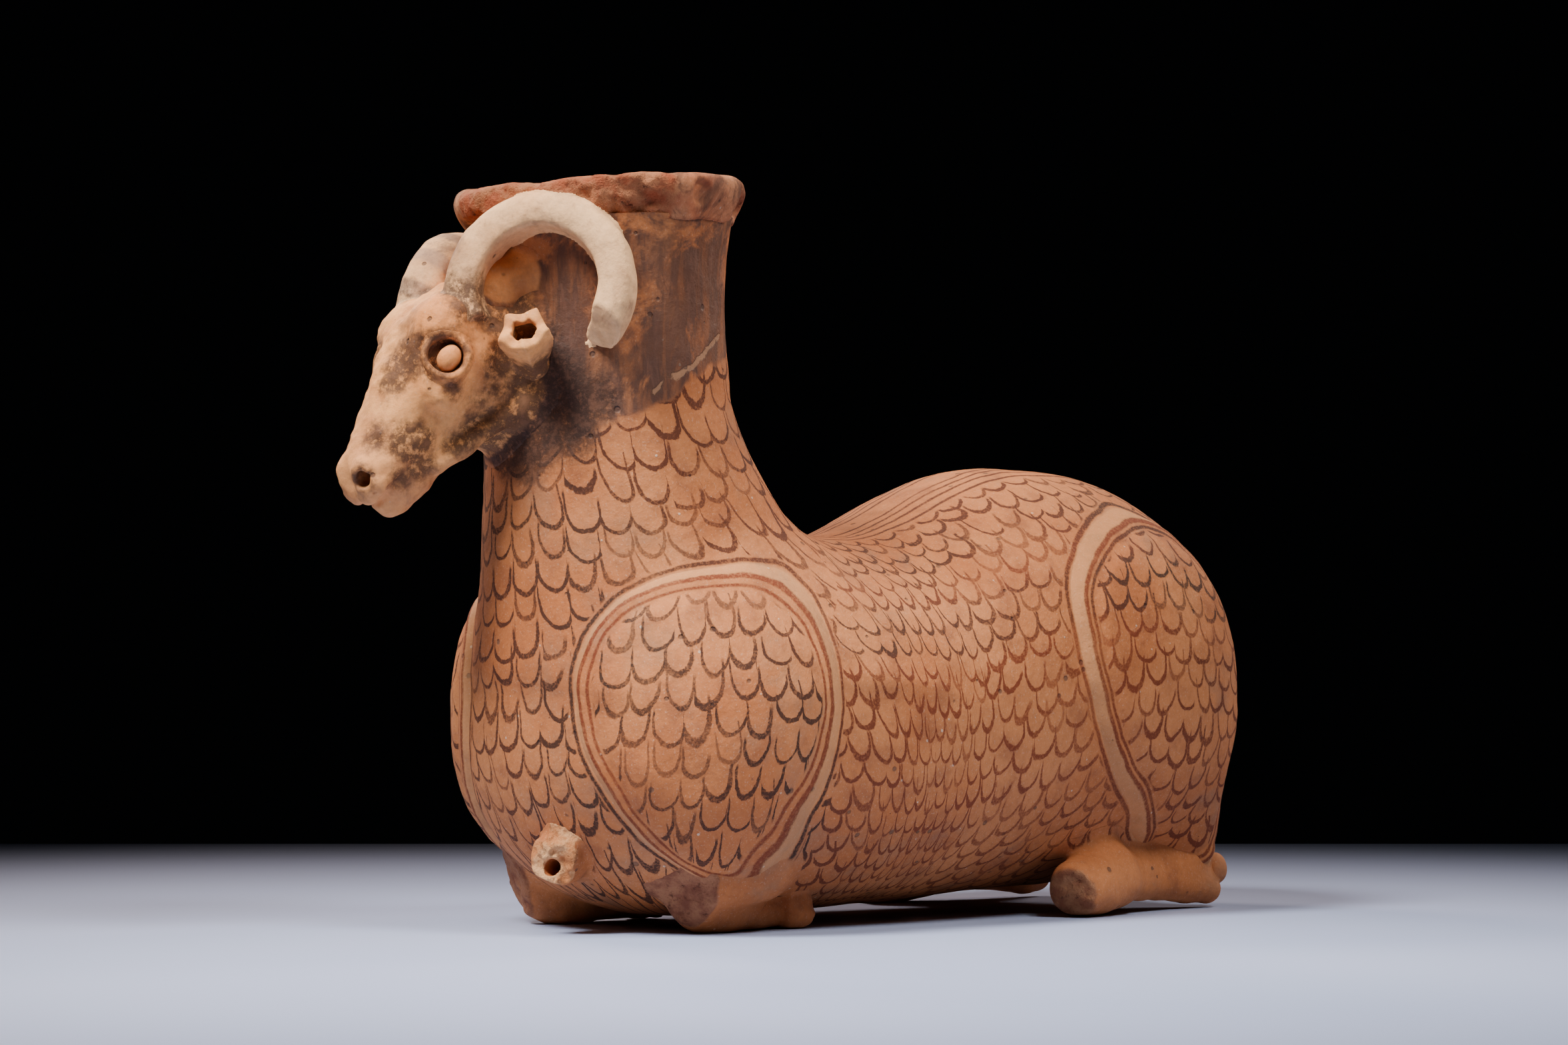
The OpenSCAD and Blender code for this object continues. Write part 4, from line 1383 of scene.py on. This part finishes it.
def painted_clay(n, core="7E4A34", edge="A06A4A"):
    """The painted body; core and edge are the colours of a broken face. The default core, used on the
    forelegs, is dark: partly the clay's core, partly painted shade on their downward-facing breaks.
    """
    body = n.group(clay, Pale="C47B49", Warm="B36838", Dull="8E5334")
    place = n.place()
    rough = n.noise(place, 700, 4, 0.75)
    drift_x, drift_y, drift_z = n.drift(place, 110)
    swell = n.noise(place, 24, 2, 0.5) * 14 - 7
    angle, level, on_flank = n.layer("neck_rows")
    along, down, _ = n.layer("flank_rows")
    shoulder, haunch, spine = n.layer("bands")
    slip, soot_and_shade, beyond = n.layer("stain_and_shade")
    smeared, _, from_crack = n.layer("zone")

    def waver(value):
        return value + swell + (drift_x * 2.6 - 1.3)

    neck_paint = n.group(
        scales, **{"Along": angle + (drift_y * 0.03 + 9), "Down": waver(level), "Per Down": 0.3,
                   "At Top": 18, "Width": 10.8, "Rows": 19.6, "Rough": rough})["Paint"]
    flank_paint = n.group(
        scales, **{"Along": along + drift_y * 2, "Down": waver(down), "Per Down": 0,
                   "At Top": 1, "Width": 9.7, "Rows": 17.8, "Rough": rough})["Paint"]
    turn = n.step(on_flank + (drift_z * 0.3 - 0.15), 0.44, 0.56)
    paint = neck_paint * (1 - turn) + flank_paint * turn
    # no scales under the bands, under the dark slip, or along the spine
    for edge_of_pad in (shoulder, haunch):
        paint = paint * n.larger(n.step(edge_of_pad, 1.5, 2.5), n.step(edge_of_pad, -8.5, -9.5))
    slipped = n.step(slip + (drift_z * 0.8 - 0.4), -0.15, 0.15)
    paint = paint * (1 - slipped)
    behind_saddle = n.step(along, 178, 186)
    stripe_zone = behind_saddle * n.step(spine, 27, 25)
    paint = paint * (1 - stripe_zone)
    bands = 0.0
    red = 0.0
    for distance, places in ((shoulder, ((0.6, 0.65, 0), (-4.4, 0.75, 1), (-7.4, 0.45, 1))),
                             (haunch, ((0.6, 0.75, 0), (-5.2, 0.75, 1), (-7.6, 0.6, 0)))):
        for at, half, is_red in places:
            one = n.group(line, **{"Distance": distance, "At": at, "Half Width": half,
                                   "Rough": rough, "Waver": drift_y})["Paint"]
            bands = n.larger(bands, one)
            if is_red:
                red = n.larger(red, one)
    for at in (7.0, 12.0, 17.0, 22.5):
        one = n.group(line, **{"Distance": spine, "At": at, "Half Width": 0.7,
                               "Rough": rough, "Waver": drift_y})["Paint"]
        bands = n.larger(bands, one * behind_saddle)
    ink = n.larger(paint, bands * 0.85) * n.step(smeared, 0.3, 0.9)
    breaks = n.step(n.noise(place, 1100, 3, 0.7), 0.36, 0.58)
    fading = n.step(n.noise(place, 26, 3, 0.6), 0.34, 0.58) * 0.35 + 0.65
    ink = ink * (breaks * 0.4 + 0.6)
    ink = (ink * fading * 1.4).clamped()
    zone = n.noise(place, 11, 2, 0.5)
    dark = n.larger(n.step(spine, 78, 48), n.step(abs(spine - 84), 16, 6))
    dark = n.larger(dark * on_flank, (1 - on_flank) * 0.95)
    dark = (dark * 0.7 + (zone * 1.4 - 0.62)).clamped()
    dark = dark * (1 - red)
    paint_colour = n.blend(dark, RUST, BROWN)
    # the raised roll inside each band is painted paler: partly the band's own buff clay, partly painted
    # highlight on the roll
    pale_roll_and_highlight = n.larger(n.step(shoulder, 0, -1) * n.step(shoulder, -4.8, -3.8),
                         n.step(haunch, 0, -1) * n.step(haunch, -5.6, -4.6))
    pale_roll_and_highlight = pale_roll_and_highlight * n.step(smeared, 0.3, 0.9)
    tint = n.blend(pale_roll_and_highlight * 0.3, body["Colour"], "C99A6A")
    tint = n.blend(ink * 0.92, tint, paint_colour)
    # dark patches: soot, and painted shade inside the horns' loop
    soot_and_shade_share = n.step(soot_and_shade + (rough * 7 - 3.5), 2.5, -3.5)
    coated = n.group(coat, Colour=tint, Slip=slipped, Soot=soot_and_shade_share)
    crack = n.step(from_crack + (rough * 1.6 - 0.8), 0.35, -0.1)
    coated_colour = n.blend(crack * 0.75, coated["Colour"], "A87A58")
    height = body["Height"] + ink * 0.00004 - crack * 0.0004
    rest = n.group(fracture, Colour=coated_colour, Height=height, Beyond=beyond,
                   Core=core, Edge=edge)
    roughness = 0.72 + body["Grain"] * 0.12 - coated["Cover"] * 0.22
    roughness = n.larger(roughness, rest["Broken"] * 0.92)
    return rest["Colour"], rest["Height"], roughness


def buff(n, pale="F6AC68", warm="E89350", dull="BC7446", worn=0.45):
    """Head and ears, or the paler horns: soot is worn into the hollows, and the hollow of each ear is
    painted dark as shade.
    """
    body = n.group(clay, Pale=pale, Warm=warm, Dull=dull)
    skirt = n.group(clay, Pale="C9814F", Warm="B86C3E", Dull="96593A")
    place = n.place()
    slip, soot_and_shade, _ = n.layer("stain_and_shade")
    smeared, down_face, rings = n.layer("zone")
    rough = n.noise(place, 330, 4, 0.7)
    # dark patches: soot, and painted shade in the ear hollows and inside the horns' loop
    soot_and_shade_share = n.step(soot_and_shade + (rough * 9 - 4.5), 3.2, -2.2)
    slipped = n.step(slip, -0.15, 0.15) * n.step(smeared, 0.25, 0.8)
    tint = n.blend(smeared, body["Colour"], skirt["Colour"])
    muzzle = n.step(down_face, 50, 72) * 0.4
    tint = n.blend(muzzle, tint, "C07A50")
    stains = n.step(n.noise(place, 44, 5, 0.7, 0.6), 0.52, 0.7)
    tint = n.blend(stains * worn, tint, "745444")
    ring = abs(n.math("FRACT", rings) - 0.5)
    ring = n.step(ring, 0.3, 0.14) * n.step(rings, -20, -19)
    tint = n.blend(ring * 0.5, tint, "6A5A58")
    coated = n.group(coat, Colour=tint, Slip=slipped, Soot=soot_and_shade_share)
    roughness = body["Grain"] * 0.15 + 0.66
    return coated["Colour"], body["Height"], roughness


def lip_clay(n):
    """The lip: orange clay, stained by handling, and redder where it broke."""
    body = n.group(clay, Pale="C98A60", Warm="B56C45", Dull="8D5A40")
    place = n.place()
    _, _, beyond = n.layer("stain_and_shade")
    dirt = n.step(n.noise(place, 55, 5, 0.75, 0.6), 0.4, 0.6)
    tint = n.blend(dirt * 0.8, body["Colour"], "4E3227")
    red = n.step(n.noise(place, 34, 3, 0.6), 0.5, 0.66)
    tint = n.blend(red * 0.6, tint, "B4552F")
    rest = n.group(fracture, Colour=tint, Height=body["Height"], Beyond=beyond,
                   Core="9A4F30", Edge="A96C48")
    return rest["Colour"], rest["Height"], 0.86


FINISHES = {
    "salmon_clay": finish("salmon_clay_painted", painted_clay),
    "dark_slip": finish("dark_slip_neck", painted_clay),
    "buff_clay": finish("buff_clay", buff),
    "horn": finish("buff_clay_horns", lambda n: buff(n, "F8C38C", "E8AA74", "AE7E5A", 0.7)),
    "hind_knee": finish("fractured_clay_knees", lambda n: painted_clay(n, "8E573C", "B07A54")),
    # the forelegs' breaks take the dark default core: partly the clay's core, partly painted shade
    "fractured_clay": finish("fractured_clay_limbs", painted_clay),
    "lip": finish("fractured_clay_lip", lip_clay),
    "chest_spout": finish("fractured_clay_spout", lambda n: painted_clay(n, "B87445", "DCA673")),
}
for name, piece in made.items():
    piece.data.materials.clear()
    part = name.removeprefix("left_").removeprefix("right_")
    piece.data.materials.append(FINISHES.get(part) or FINISHES[piece["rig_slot"]])
print("finishes:", ", ".join(FINISHES))

# %% [markdown]
# ## Floor and light
#
# A pale table that ends behind the pot, in front of a dark room. The main light is a
# soft box above and to the left of the camera, with a weaker one to the right. Two small
# warm lights behind the pot give the rim on the muzzle and the rump.

# %% Set the floor and the lights
floor_mesh = bpy.data.meshes.new("floor")
toward = np.array([math.sin(CAMERA_TURN), -math.cos(CAMERA_TURN), 0])
aside = np.array([math.cos(CAMERA_TURN), math.sin(CAMERA_TURN), 0])
FAR_EDGE = 0.57
NEAR_EDGE = 3.0
corners = [
    -toward * FAR_EDGE - aside * 3,
    -toward * FAR_EDGE + aside * 3,
    toward * NEAR_EDGE + aside * 3,
    toward * NEAR_EDGE - aside * 3,
]
floor_mesh.from_pydata([tuple(c) for c in corners], [], [(3, 2, 1, 0)])
floor = bpy.data.objects.new("floor", floor_mesh)
scene.collection.objects.link(floor)
floor_material = bpy.data.materials.new("table")
floor_material.use_nodes = True
table_shader = floor_material.node_tree.nodes["Principled BSDF"]
table_shader.inputs["Base Color"].default_value = (0.33, 0.38, 0.545, 1)
table_shader.inputs["Roughness"].default_value = 0.6
floor_mesh.materials.append(floor_material)

world = bpy.data.worlds.new("dark room")
scene.world = world
world.use_nodes = True
world.node_tree.nodes["Background"].inputs["Color"].default_value = (0.5, 0.55, 0.65, 1)
world.node_tree.nodes["Background"].inputs["Strength"].default_value = 0.002


def soft_light(name, place, at, size, power, spread, tint):
    """A round softbox with a grid: spread is the width of its beam in degrees."""
    data = bpy.data.lights.new(name, "AREA")
    data.shape = "DISK"
    data.size = size
    data.energy = power
    data.spread = math.radians(spread)
    data.color = tint
    lamp = bpy.data.objects.new(name, data)
    scene.collection.objects.link(lamp)
    lamp.location = place
    aim = Vector(at) - Vector(place)
    lamp.rotation_euler = aim.to_track_quat("-Z", "Y").to_euler()
    return lamp


def from_camera(turn, height, distance):
    """A place round the pot: turn in degrees to the right of the camera."""
    a = CAMERA_TURN + math.radians(turn)
    return (distance * math.sin(a), -distance * math.cos(a), height)


before_pot = from_camera(0, 0.05, 0.2)
on_pot = (0, 0, 0.12)
WHITE = (1.0, 0.98, 0.96)
AMBER = (1.0, 0.80, 0.70)
lamps = [
    soft_light("left_box", from_camera(-42, 1.1, 0.8), before_pot, 0.45, 2.65, 42, WHITE),
    soft_light("right_box", from_camera(44, 1.1, 0.8), before_pot, 0.45, 1.2, 42, WHITE),
    soft_light("back_left", from_camera(-140, 0.8, 0.9), on_pot, 0.3, 1.2, 60, AMBER),
    soft_light("back_right", from_camera(130, 0.7, 0.9), on_pot, 0.3, 0.6, 60, AMBER),
]
